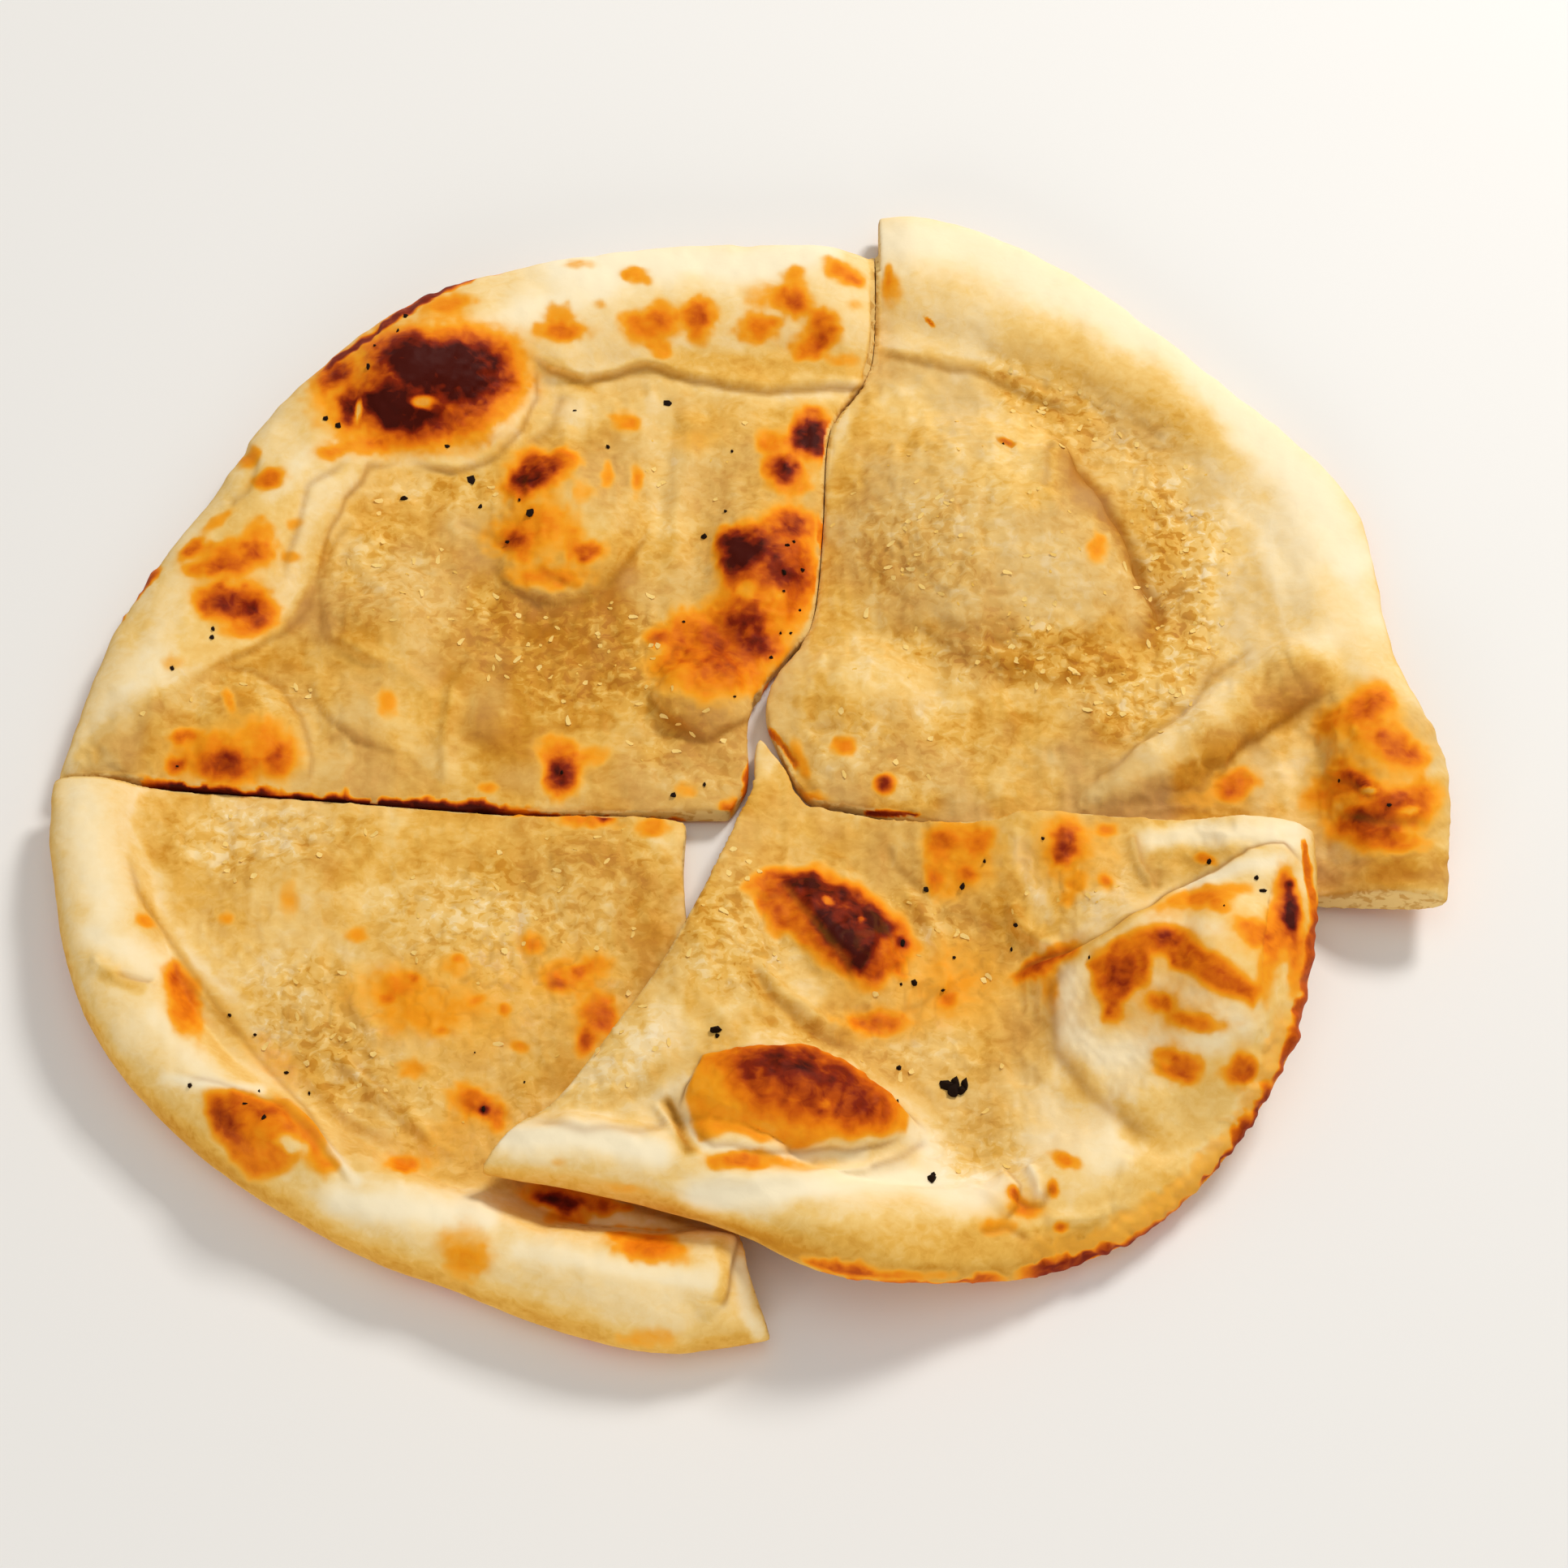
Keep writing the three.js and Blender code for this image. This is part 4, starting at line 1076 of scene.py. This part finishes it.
# The front right quarter: the same dough, pushed onto its neighbours. It has a long scorched
# bubble above a thick pale roll, a dark bubble near the point and a folded dome on the right,
# and its lower edge is crusty and dark brown.
front_right = fine_copy("quarter_front_right", "bread_front_right", facet=0.00044)
bake(
    front_right,
    seed=700,
    painted_sheen_strength=0.5,
    sheet=[
        (950, 900), (840, 1080), (740, 1230), (640, 1370), (760, 1370), (840, 1330), (930, 1290),
        (1010, 1300), (1100, 1350), (1180, 1400), (1290, 1400), (1300, 1250), (1290, 1180),
        (1400, 1110), (1600, 1030), (1400, 960),
    ],
    cuts=[(-0.86, 0.5, 0.15, None), (0.1, 0.99, 0.1, None)],
    ledges=[
        # round the long bubble
        ([(836, 1375), (848, 1340), (870, 1310), (930, 1294), (1000, 1298), (1060, 1328),
          (1110, 1372), (1150, 1405)], 6, 1.8, 60),
        ([(1120, 1400), (1040, 1412), (940, 1416), (880, 1408), (848, 1385)], 6, 0.8, 40),
        # the folded dome
        ([(1225, 1222), (1290, 1186), (1345, 1168), (1400, 1128), (1460, 1096), (1540, 1050),
          (1580, 1044), (1612, 1075)], 7, 1.6, 90),
        ([(1430, 1400), (1390, 1375), (1340, 1335), (1308, 1290), (1310, 1230),
          (1345, 1175)], 15, 0.8, 70),
        # the dark bubble and the roll's end
        ([(1060, 1220), (1045, 1185), (1015, 1150), (985, 1112), (960, 1080)], 6, 0.6, 40),
        ([(1236, 1440), (1256, 1462), (1252, 1482), (1232, 1502)], 5, 1.0, 40),
    ],
    ridges=[
        ([(800, 1352), (835, 1395), (862, 1430)], 6, 0.8),
        ([(860, 1455), (960, 1452), (1060, 1440), (1150, 1415)], 9, 1.0),
        ([(925, 1175), (965, 1225), (1010, 1258), (1070, 1280)], 9, 0.8),
        ([(1105, 1090), (1150, 1150), (1165, 1205), (1130, 1250)], 9, 0.8),
        ([(1395, 1025), (1405, 1065), (1425, 1095)], 7, 1.0),
        ([(1240, 1105), (1265, 1150), (1310, 1168)], 9, 1.0),
        ([(1210, 1320), (1260, 1300), (1300, 1330)], 14, 0.8),
        ([(1388, 1420), (1384, 1455), (1372, 1498)], 9, 0.9),
        ([(1268, 1435), (1278, 1455), (1282, 1475)], 6, 0.8),
        ([(1285, 1505), (1330, 1498), (1372, 1488)], 8, 0.8),
        ([(620, 1400), (700, 1385), (790, 1400)], 10, 0.6),
        ([(1350, 1330), (1400, 1400), (1450, 1430)], 14, -0.7),
    ],
    blisters=[
        (972, 1352, 142, 58, 9, 1.4), (1045, 1150, 110, 62, 48, 0.9),
        (1420, 1250, 130, 110, 0, 0.8), (1240, 1350, 60, 70, 0, 0.6), (1170, 1060, 60, 50, 0, 0.6),
        (1330, 1060, 60, 40, 0, 0.6),
    ],
    creases=[
        ([(812, 1345), (838, 1385), (856, 1428)], 6, 1.0),
        ([(920, 1180), (955, 1232), (1000, 1270), (1060, 1300)], 5, 0.63),
        ([(1160, 1215), (1130, 1240), (1110, 1250)], 5, 0.42),
        ([(1398, 1022), (1410, 1065), (1432, 1098)], 5, 0.70),
        ([(1246, 1472), (1266, 1484), (1284, 1486), (1296, 1456)], 5, 0.9),
        ([(1205, 1520), (1240, 1510), (1270, 1530)], 5, 0.6),
        ([(640, 1372), (720, 1392), (790, 1390), (830, 1380)], 6, 0.40),
        ([(1060, 1442), (1110, 1424), (1150, 1410)], 5, 0.56),
        ([(1090, 1040), (1110, 1075), (1150, 1110)], 6, 0.49),
    ],
    pale_and_highlit=[
        # paler dough, with painted highlight along the tops of the roll and the dome
        ([(620, 1400), (720, 1400), (810, 1420)], 26, 0.95),
        ([(700, 1330), (770, 1310), (820, 1270)], 34, 0.65),
        ([(1205, 1445), (1245, 1470)], 18, 0.7),
        ([(1266, 1436), (1280, 1470)], 10, 0.7),
        ([(1285, 1500), (1330, 1500), (1372, 1488)], 12, 0.6),
        ([(860, 1475), (1000, 1462), (1120, 1452), (1210, 1475)], 24, 0.95),
        ([(1130, 1400), (1160, 1425)], 18, 0.8),
        ([(862, 1340), (852, 1380), (870, 1412), (960, 1424), (1060, 1420)], 10, 0.7),
        ([(1325, 1215), (1322, 1270), (1360, 1300), (1420, 1290), (1500, 1280)], 22, 0.7),
        ([(1420, 1220), (1480, 1235), (1530, 1260)], 20, 0.6),
        ([(1460, 1108), (1530, 1072), (1575, 1065)], 12, 0.8),
        ([(1420, 1140), (1500, 1150)], 14, 0.6),
        ([(1420, 1035), (1520, 1025), (1590, 1030)], 20, 0.85),
        ([(1255, 1040), (1275, 1090), (1290, 1125)], 18, 0.6),
        ([(1340, 1110), (1385, 1095)], 18, 0.5),
        ([(1270, 1340), (1290, 1400), (1350, 1420)], 34, 0.55),
        ([(1150, 1120), (1150, 1180)], 14, 0.4),
        ([(860, 1200), (900, 1240)], 36, 0.3),
        ([(980, 1185), (1000, 1230)], 22, 0.35),
        ([(930, 1280), (980, 1275)], 18, 0.35),
        ([(1380, 1390), (1440, 1380)], 24, 0.4),
    ],
    soaked_and_shaded=[
        (1080, 1200, 340, 230, 0, 0.06), (1190, 1140, 70, 70, 30, 0.35),
        (1000, 1278, 90, 16, 15, 0.35), (870, 1080, 40, 60, 30, 0.25),
        (1050, 1040, 70, 40, 20, 0.15), (1240, 1250, 40, 60, 0, 0.25),
        (1205, 1415, 50, 34, 0, 0.35), (1264, 1490, 24, 14, 0, 0.5), (1228, 1512, 36, 14, 0, 0.4),
        (1330, 1330, 40, 30, 40, 0.4), (1400, 1385, 40, 24, 30, 0.5), (1460, 1370, 70, 60, 0, 0.35),
        # at (1400, 1470) the spot is painted shade on the lower right
        (1100, 1520, 120, 26, 0, 0.3), (1400, 1470, 60, 34, -30, 0.4),
    ],
    streaks=[
        ([(1230, 1222), (1300, 1190), (1345, 1172), (1400, 1132), (1470, 1092)], 9, 0.5),
        ([(812, 1345), (838, 1385), (856, 1430)], 8, 0.8),
        ([(880, 1150), (940, 1225), (1010, 1275), (1080, 1300)], 10, 0.3),
        ([(1540, 1430), (1580, 1330), (1615, 1200), (1622, 1080)], 16, 0.5),
        ([(760, 1500), (900, 1535), (1100, 1556), (1250, 1545), (1400, 1485)], 36, 0.55),
        ([(1240, 1560), (1360, 1535), (1480, 1470), (1540, 1400)], 26, 0.6),
    ],
    flaky=[
        (1150, 1180, 100, 130, 0, 0.7), (1205, 1410, 70, 60, 0, 0.4), (900, 1150, 90, 90, 0, 0.6),
        (1330, 1080, 90, 50, 0, 0.5), (1080, 1290, 160, 40, 10, 0.4),
        (760, 1290, 90, 70, -40, 0.35),
    ],
    scorches=[
        # the long bubble
        (965, 1326, 74, 22, 10, 0.36), (1050, 1370, 40, 20, 10, 0.14),
        (915, 1430, 52, 13, -2, 0.38), (985, 1438, 40, 8, 0, 0.12),
        # the dark bubble near the point
        (1032, 1160, 44, 13, 45, 0.62), (1062, 1136, 26, 12, 20, 0.40),
        (985, 1100, 30, 14, 30, 0.36), (1112, 1162, 10, 7, 20, 0.50),
        # spots on the sheet
        (1080, 1262, 42, 16, 0, 0.36), (1165, 1232, 13, 13, 0, 0.28), (1160, 1040, 20, 24, 0, 0.24),
        (1206, 1034, 18, 22, 0, 0.22), (1150, 1088, 12, 18, 0, 0.24), (1192, 1078, 16, 12, 0, 0.2),
        (1312, 1042, 17, 23, 10, 0.52), (1318, 1042, 36, 36, 0, 0.18),
        (1328, 1090, 15, 14, 0, 0.22), (1363, 1087, 10, 9, 0, 0.32), (1365, 1022, 16, 10, 0, 0.28),
        (1315, 1110, 12, 10, 0, 0.20), (1488, 1060, 15, 8, 10, 0.42),
        # the folded dome
        (1288, 1190, 42, 17, -28, 0.54), (1325, 1178, 14, 8, -20, 0.30),
        (1300, 1225, 14, 26, 0, 0.16), (1385, 1205, 18, 26, 30, 0.24),
        (1378, 1250, 13, 14, 0, 0.24), (1435, 1236, 20, 11, 10, 0.36),
        (1475, 1260, 34, 11, 10, 0.36), (1490, 1112, 54, 12, -14, 0.30),
        (1505, 1124, 16, 9, 0, 0.24), (1545, 1152, 26, 18, 30, 0.34),
        (1560, 1200, 16, 40, 10, 0.22), (1456, 1316, 30, 22, 20, 0.42),
        (1440, 1300, 14, 8, 0, 0.20), (1530, 1318, 24, 26, 0, 0.44),
        # the right edge
        (1590, 1118, 13, 46, -8, 0.80), (1578, 1140, 20, 50, 0, 0.32),
        (1600, 1190, 12, 50, 5, 0.26),
        # the roll's right end
        (1312, 1430, 22, 11, 20, 0.32), (1264, 1490, 20, 11, 0, 0.32), (1250, 1474, 9, 9, 0, 0.45),
        (1306, 1512, 11, 8, 0, 0.42), (1297, 1464, 7, 11, 0, 0.36), (1228, 1512, 30, 12, 0, 0.2),
        # the front edge
        (1035, 1566, 60, 14, 5, 0.46), (1100, 1574, 90, 9, -3, 0.26), (690, 1432, 12, 9, 0, 0.14),
        (770, 1465, 40, 10, 8, 0.14),
        # broad faint browning
        (1180, 1200, 60, 60, 0, 0.12), (1300, 1060, 110, 60, 0, 0.10),
        (1450, 1210, 130, 100, 0, 0.12), (1100, 1240, 150, 70, 0, 0.10),
        (1260, 1480, 90, 36, -10, 0.08),
    ],
    browned=[
        # the long bubble
        ([(842, 1348), (868, 1312), (920, 1297), (1000, 1300), (1060, 1328), (1110, 1368),
          (1112, 1400), (1060, 1407), (960, 1412), (900, 1402), (862, 1400), (846, 1378)], 8, 0.25),
        ([(898, 1325), (930, 1302), (1000, 1305), (1056, 1332), (1092, 1366), (1080, 1394),
          (1030, 1390), (990, 1378), (940, 1372), (910, 1350)], 16, 0.36),
        # the dark bubble near the point
        ([(915, 1095), (945, 1070), (1000, 1068), (1060, 1094), (1110, 1130), (1130, 1165),
          (1110, 1200), (1070, 1216), (1030, 1195), (985, 1165), (950, 1140),
          (935, 1112)], 14, 0.44),
        ([(962, 1078), (1000, 1083), (1060, 1112), (1102, 1140), (1085, 1162), (1064, 1206),
          (1045, 1190), (1015, 1150), (984, 1110)], 9, 0.42),
        # the patch at the back edge
        ([(1136, 1018), (1185, 1005), (1228, 1030), (1222, 1080), (1192, 1108), (1152, 1118),
          (1134, 1070)], 20, 0.2),
        # the folded dome
        ([(1350, 1190), (1378, 1165), (1435, 1150), (1455, 1165), (1420, 1180), (1415, 1215),
          (1390, 1238), (1365, 1258), (1356, 1225)], 8, 0.36),
        ([(1425, 1156), (1450, 1150), (1500, 1180), (1550, 1215), (1546, 1240), (1485, 1214),
          (1445, 1192)], 10, 0.4),
    ],
    cooler=[
        (1018, 1118, 9, 5, 30, 0.5), (1058, 1140, 6, 5, 0, 0.4), (1010, 1366, 8, 6, 0, 0.3),
    ],
    burnt_and_shadowed=[
        ([(1230, 1578), (1330, 1556), (1404, 1532), (1484, 1478), (1540, 1424)], 13, 0.72),
        ([(1474, 1474), (1519, 1424), (1550, 1380), (1575, 1324)], 17, 0.7),
        ([(1566, 1364), (1599, 1274), (1619, 1184), (1627, 1090)], 13, 0.62),
        ([(940, 1557), (1000, 1577), (1080, 1587), (1180, 1585), (1260, 1572)], 10, 0.55),
        ([(1604, 1030), (1612, 1075), (1618, 1130)], 5, 0.5),
        ([(1180, 1560), (1330, 1540), (1404, 1510), (1470, 1460), (1522, 1408), (1556, 1345),
          (1584, 1270), (1602, 1190)], 28, 0.17),
    ],
)
place_quarter(front_right, "quarter_front_right")

# Crust flakes: thin golden scales of dry crust that stick to the butter inside the quarters.
# They are uneven bent slivers up to about three millimetres long, some paler than others.
FLAKES_PER_SQUARE_METRE = 70000
FLAKE_SHAPES = [(0.0026, 0.0012, 1), (0.0020, 0.0014, 2), (0.0032, 0.0011, 3), (0.0016, 0.0012, 4)]
FLAKE_CORNERS = 7
FLAKE_REACH = (0.32, 0.55)
FLAKE_BEND = 0.0007
FLAKE_THICKNESS = 0.0001
FLAKE_HUB = 1.2
FLAKE_TILT = 0.12
FLAKE_TURN = 6.28
FLAKE_SCALES = (0.3, 0.85)
FLAKE_SEED = 7
FLAKE_GOLD = dye((232, 183, 80))
FLAKE_PALE = dye((246, 212, 130))


def one_flake(length, breadth, seed):
    """An uneven bent sliver of crust, lying along x with its middle at zero height."""
    random = np.random.default_rng(seed)
    corners = []
    for turn in np.linspace(0, 2 * math.pi, FLAKE_CORNERS, endpoint=False):
        reach = random.uniform(*FLAKE_REACH)
        along, across = math.cos(turn) * reach, math.sin(turn) * reach
        corners.append((length * along, breadth * across, FLAKE_BEND * along * along))
    raised = [(x, y, z + FLAKE_THICKNESS) for x, y, z in corners]
    hub = [(0, 0, 0), (0, 0, FLAKE_THICKNESS * FLAKE_HUB)]
    low_hub, high_hub = 2 * FLAKE_CORNERS, 2 * FLAKE_CORNERS + 1
    faces = []
    for a in range(FLAKE_CORNERS):
        b = (a + 1) % FLAKE_CORNERS
        raised_a, raised_b = a + FLAKE_CORNERS, b + FLAKE_CORNERS
        faces += [(a, b, raised_b, raised_a), (low_hub, b, a), (high_hub, raised_a, raised_b)]
    mesh = bpy.data.meshes.new(f"flake_{seed}")
    mesh.from_pydata(corners + raised + hub, [], faces)
    mesh.update()
    return bpy.data.objects.new(f"flake_{seed}", mesh)


flake_kinds = bpy.data.collections.new("flake_kinds")
for flake_length, flake_breadth, flake_seed in FLAKE_SHAPES:
    flake_kinds.objects.link(one_flake(flake_length, flake_breadth, flake_seed))
flake_colour = new_material("dough_flake", {"Roughness": 0.6, "Specular IOR Level": 0.1})
flake_nodes = flake_colour.node_tree
flake_tone = node_of(flake_nodes, "ShaderNodeAttribute", attribute_name="tone").outputs["Fac"]
flake_blend = blend_colour(flake_nodes, flake_tone, FLAKE_GOLD, FLAKE_PALE)
flake_nodes.links.new(flake_blend, flake_nodes.nodes["Principled BSDF"].inputs["Base Color"])

quarters = (back_left, back_right, front_left, front_right)
bread = bpy.data.collections.new("bread")
for quarter in quarters:
    bread.objects.link(quarter)


def flake_tree():
    """Scatters flakes over the bread where its flaky mark is high."""
    tree = bpy.data.node_groups.new("scatter_flakes", "GeometryNodeTree")
    for name, kind in (("Geometry", "Geometry"), ("Bread", "Collection"), ("Flakes", "Collection"),
                       ("Density", "Float"), ("Seed", "Int"), ("Material", "Material")):
        tree.interface.new_socket(name, in_out="INPUT", socket_type=f"NodeSocket{kind}")
    tree.interface.new_socket("Geometry", in_out="OUTPUT", socket_type="NodeSocketGeometry")
    given = node_of(tree, "NodeGroupInput").outputs
    result = node_of(tree, "NodeGroupOutput")
    whole_bread = node_of(tree, "GeometryNodeCollectionInfo")
    ground = node_of(tree, "GeometryNodeRealizeInstances")
    mark = node_of(tree, "GeometryNodeInputNamedAttribute", data_type="FLOAT")
    mark.inputs["Name"].default_value = "flaky"
    density = reckon(tree, "MULTIPLY", mark.outputs["Attribute"], given["Density"])
    points = node_of(tree, "GeometryNodeDistributePointsOnFaces")
    kinds = node_of(tree, "GeometryNodeCollectionInfo")
    kinds.inputs["Separate Children"].default_value = True
    kinds.inputs["Reset Children"].default_value = True
    spin = node_of(tree, "FunctionNodeRandomValue", data_type="FLOAT_VECTOR")
    spin.inputs["Min"].default_value = (-FLAKE_TILT, -FLAKE_TILT, 0)
    spin.inputs["Max"].default_value = (FLAKE_TILT, FLAKE_TILT, FLAKE_TURN)
    turn = node_of(tree, "FunctionNodeRotateRotation", rotation_space="LOCAL")
    size = node_of(tree, "FunctionNodeRandomValue", data_type="FLOAT")
    size.inputs[2].default_value, size.inputs[3].default_value = FLAKE_SCALES
    instances = node_of(tree, "GeometryNodeInstanceOnPoints")
    instances.inputs["Pick Instance"].default_value = True
    chance = node_of(tree, "FunctionNodeRandomValue", data_type="FLOAT")
    toned = node_of(tree, "GeometryNodeStoreNamedAttribute", data_type="FLOAT", domain="INSTANCE")
    toned.inputs["Name"].default_value = "tone"
    realized = node_of(tree, "GeometryNodeRealizeInstances")
    coat = node_of(tree, "GeometryNodeSetMaterial")
    for source, target in (
        (given["Bread"], whole_bread.inputs["Collection"]),
        (whole_bread.outputs["Instances"], ground.inputs["Geometry"]),
        (ground.outputs["Geometry"], points.inputs["Mesh"]),
        (density, points.inputs["Density"]),
        (given["Seed"], points.inputs["Seed"]),
        (given["Flakes"], kinds.inputs["Collection"]),
        (points.outputs["Points"], instances.inputs["Points"]),
        (kinds.outputs["Instances"], instances.inputs["Instance"]),
        (points.outputs["Rotation"], turn.inputs["Rotation"]),
        (spin.outputs["Value"], turn.inputs["Rotate By"]),
        (turn.outputs["Rotation"], instances.inputs["Rotation"]),
        (size.outputs[1], instances.inputs["Scale"]),
        (instances.outputs["Instances"], toned.inputs["Geometry"]),
        (chance.outputs[1], toned.inputs["Value"]),
        (toned.outputs["Geometry"], realized.inputs["Geometry"]),
        (realized.outputs["Geometry"], coat.inputs["Geometry"]),
        (given["Material"], coat.inputs["Material"]),
        (coat.outputs["Geometry"], result.inputs["Geometry"]),
    ):
        tree.links.new(source, target)
    return tree


def grown(name, tree, inputs):
    """A piece made by a geometry tree with the given inputs, as a plain mesh."""
    piece = add_object(name, bpy.data.meshes.new(name))
    growth = piece.modifiers.new("growth", "NODES")
    growth.node_group = tree
    for socket in tree.interface.items_tree:
        if socket.item_type == "SOCKET" and socket.in_out == "INPUT" and socket.name in inputs:
            growth[socket.identifier] = inputs[socket.name]
    settle(piece)
    return piece


flakes = grown("crust_flakes", flake_tree(), {
    "Bread": bread,
    "Flakes": flake_kinds,
    "Density": FLAKES_PER_SQUARE_METRE,
    "Seed": FLAKE_SEED,
    "Material": flake_colour,
})
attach(flakes, "root")

# Char crumbs: black bits of burnt dough from the oven's wall, strewn over the bread. Each is an
# uneven lump of about a millimetre, half sunk in the crust where it fell, and the largest lie
# together as a clot. A row is (x and y in the picture, share of the full size).
FULL_CRUMB = 0.0016
CRUMB_STRETCH = (0.5, 1.3)
CRUMB_UNEVEN = (0.6, 1.25)
CRUMB_SEED = 41
CRUMBS = [
    (823, 497, 0.9), (581, 592, 1.0), (497, 615, 0.9), (592, 624, 0.6), (654, 632, 1.0),
    (626, 668, 0.7), (640, 616, 0.5), (708, 506, 0.5), (749, 551, 0.6), (902, 556, 0.5),
    (867, 662, 0.8), (894, 630, 0.5), (842, 766, 0.5), (262, 775, 1.0), (261, 785, 0.7),
    (212, 824, 0.5), (868, 967, 0.8), (830, 980, 0.8), (454, 452, 0.8), (462, 426, 0.6),
    (490, 408, 0.6), (402, 516, 0.8), (417, 525, 0.7), (551, 550, 0.6), (720, 311, 0.7),
    (500, 390, 1.0), (970, 672, 0.6), (978, 668, 0.5), (966, 705, 0.6), (988, 702, 0.7),
    (966, 728, 0.5), (985, 752, 0.5), (962, 780, 0.5), (974, 780, 0.4), (950, 810, 0.5),
    (905, 858, 0.5), (218, 944, 0.4), (692, 952, 0.6), (1166, 1338, 1.5), (1177, 1334, 1.9),
    (1189, 1337, 1.5), (1176, 1345, 1.3), (1184, 1345, 1.1), (1147, 1452, 1.3), (1150, 1448, 0.9),
    (882, 1270, 1.2), (884, 1276, 0.8), (1107, 1316, 0.6), (1106, 1357, 0.4), (1213, 1061, 0.8),
    (1186, 1092, 0.7), (1142, 1096, 0.6), (1285, 1033, 0.5), (1252, 1140, 0.8), (1246, 1170, 0.6),
    (1548, 1082, 0.7), (1556, 1098, 0.7), (1508, 1116, 0.4), (1112, 1162, 0.7), (1126, 1211, 0.7),
    (1110, 1213, 0.5), (1162, 1220, 0.5), (1176, 1180, 0.4), (1490, 1062, 0.6), (1342, 1180, 0.4),
    (1650, 962, 0.5), (1712, 992, 0.6), (302, 1360, 0.6), (325, 1377, 0.6), (319, 1345, 0.5),
    (381, 1347, 0.6), (353, 1322, 0.5), (314, 1275, 0.6), (283, 1251, 0.5), (234, 1338, 0.5),
    (585, 1297, 0.4), (596, 1367, 0.6), (646, 1333, 0.4), (1236, 547, 0.4),
]


def crumb_seat(x, y):
    """The point of the bread that shows at a place of the picture."""
    across = (x - PICTURE_SIDE / 2) / FOCAL_PIXELS
    rise = (PICTURE_SIDE / 2 - y) / FOCAL_PIXELS
    ray = (look + picture_right * across + picture_up * rise).normalized()
    hits = []
    for quarter in quarters:
        found, seat, _, _ = quarter.ray_cast(eye, ray)
        if found:
            hits.append(((seat - eye).length, seat))
    return min(hits, key=lambda hit: hit[0])[1] if hits else None


def crumb_lump(random):
    """The corners of one uneven lump and its faces."""
    lump = bmesh.new()
    bmesh.ops.create_icosphere(lump, subdivisions=1, radius=0.5)
    corners = np.array([corner.co for corner in lump.verts])
    corners = corners * random.uniform(*CRUMB_STRETCH, 3)
    corners = corners * random.uniform(*CRUMB_UNEVEN, (len(corners), 1))
    faces = np.array([[corner.index for corner in face.verts] for face in lump.faces])
    lump.free()
    return corners, faces


crumb_random = np.random.default_rng(CRUMB_SEED)
crumb_corners, crumb_faces, corner_count = [], [], 0
for crumb_x, crumb_y, crumb_share in CRUMBS:
    seat = crumb_seat(crumb_x, crumb_y)
    if seat is None:
        continue
    corners, faces = crumb_lump(crumb_random)
    crumb_corners.append(corners * FULL_CRUMB * crumb_share + np.array(seat))
    crumb_faces.append(faces + corner_count)
    corner_count += len(corners)
crumb_mesh = bpy.data.meshes.new("char_crumbs")
crumb_mesh.from_pydata(np.vstack(crumb_corners).tolist(), [], np.vstack(crumb_faces).tolist())
crumb_mesh.update()
crumb_mesh.materials.append(new_material("char_crumb", {
    "Base Color": dye((30, 17, 9)), "Roughness": 0.9, "Specular IOR Level": 0.1,
}))
crumbs = add_object("char_crumbs", crumb_mesh)
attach(crumbs, "root")

# Floor and light: a plain pale table, lit by a window behind it on the right, so that the shadows
# fall to the front and left. A pale card in front, a wide soft ceiling light and the bright
# surround fill them.
FLOOR_SIDE = 10.0
FLOOR_DROP = 0.0002
WARM_WHITE = (1.0, 0.97, 0.92)
SOFT_WHITE = (1.0, 0.98, 0.95)
CEILING_HEIGHT = 1.1

floor_mesh = bpy.data.meshes.new("floor")
floor_signs = ((-1, -1), (1, -1), (1, 1), (-1, 1))
floor_corners = [(x * FLOOR_SIDE / 2, y * FLOOR_SIDE / 2, 0) for x, y in floor_signs]
floor_mesh.from_pydata(floor_corners, [], [(0, 1, 2, 3)])
floor_finish = {"Base Color": dye((239, 238, 236)), "Roughness": 0.7}
floor_mesh.materials.append(new_material("floor", floor_finish))
floor = add_object("floor", floor_mesh)
floor.location.z = cad_low.z - FLOOR_DROP


def softbox(name, place, wide, tall, power):
    """A rectangular soft light at a place, turned to the bread."""
    data = bpy.data.lights.new(name, "AREA")
    data.shape = "RECTANGLE"
    data.size, data.size_y = wide, tall
    data.energy = power
    data.color = WARM_WHITE
    light = add_object(name, data)
    light.location = place
    light.rotation_euler = (-Vector(place)).to_track_quat("-Z", "Y").to_euler()


softbox("back_window", (0.62, 0.78, 0.9), wide=0.34, tall=0.28, power=12.0)
softbox("front_card", (-0.2, -0.95, 0.32), wide=0.8, tall=0.3, power=3.3)
ceiling_data = bpy.data.lights.new("ceiling", "SUN")
ceiling_data.energy = 0.4
ceiling_data.angle = math.radians(50)
ceiling_data.color = SOFT_WHITE
ceiling = add_object("ceiling", ceiling_data)
ceiling.location.z = CEILING_HEIGHT
world = bpy.data.worlds.new("surround")
world.use_nodes = True
surround = world.node_tree.nodes["Background"]
surround.inputs["Color"].default_value = (*SOFT_WHITE, 1)
surround.inputs["Strength"].default_value = 0.34
bpy.context.scene.world = world
bpy.context.scene.view_settings.view_transform = "Standard"
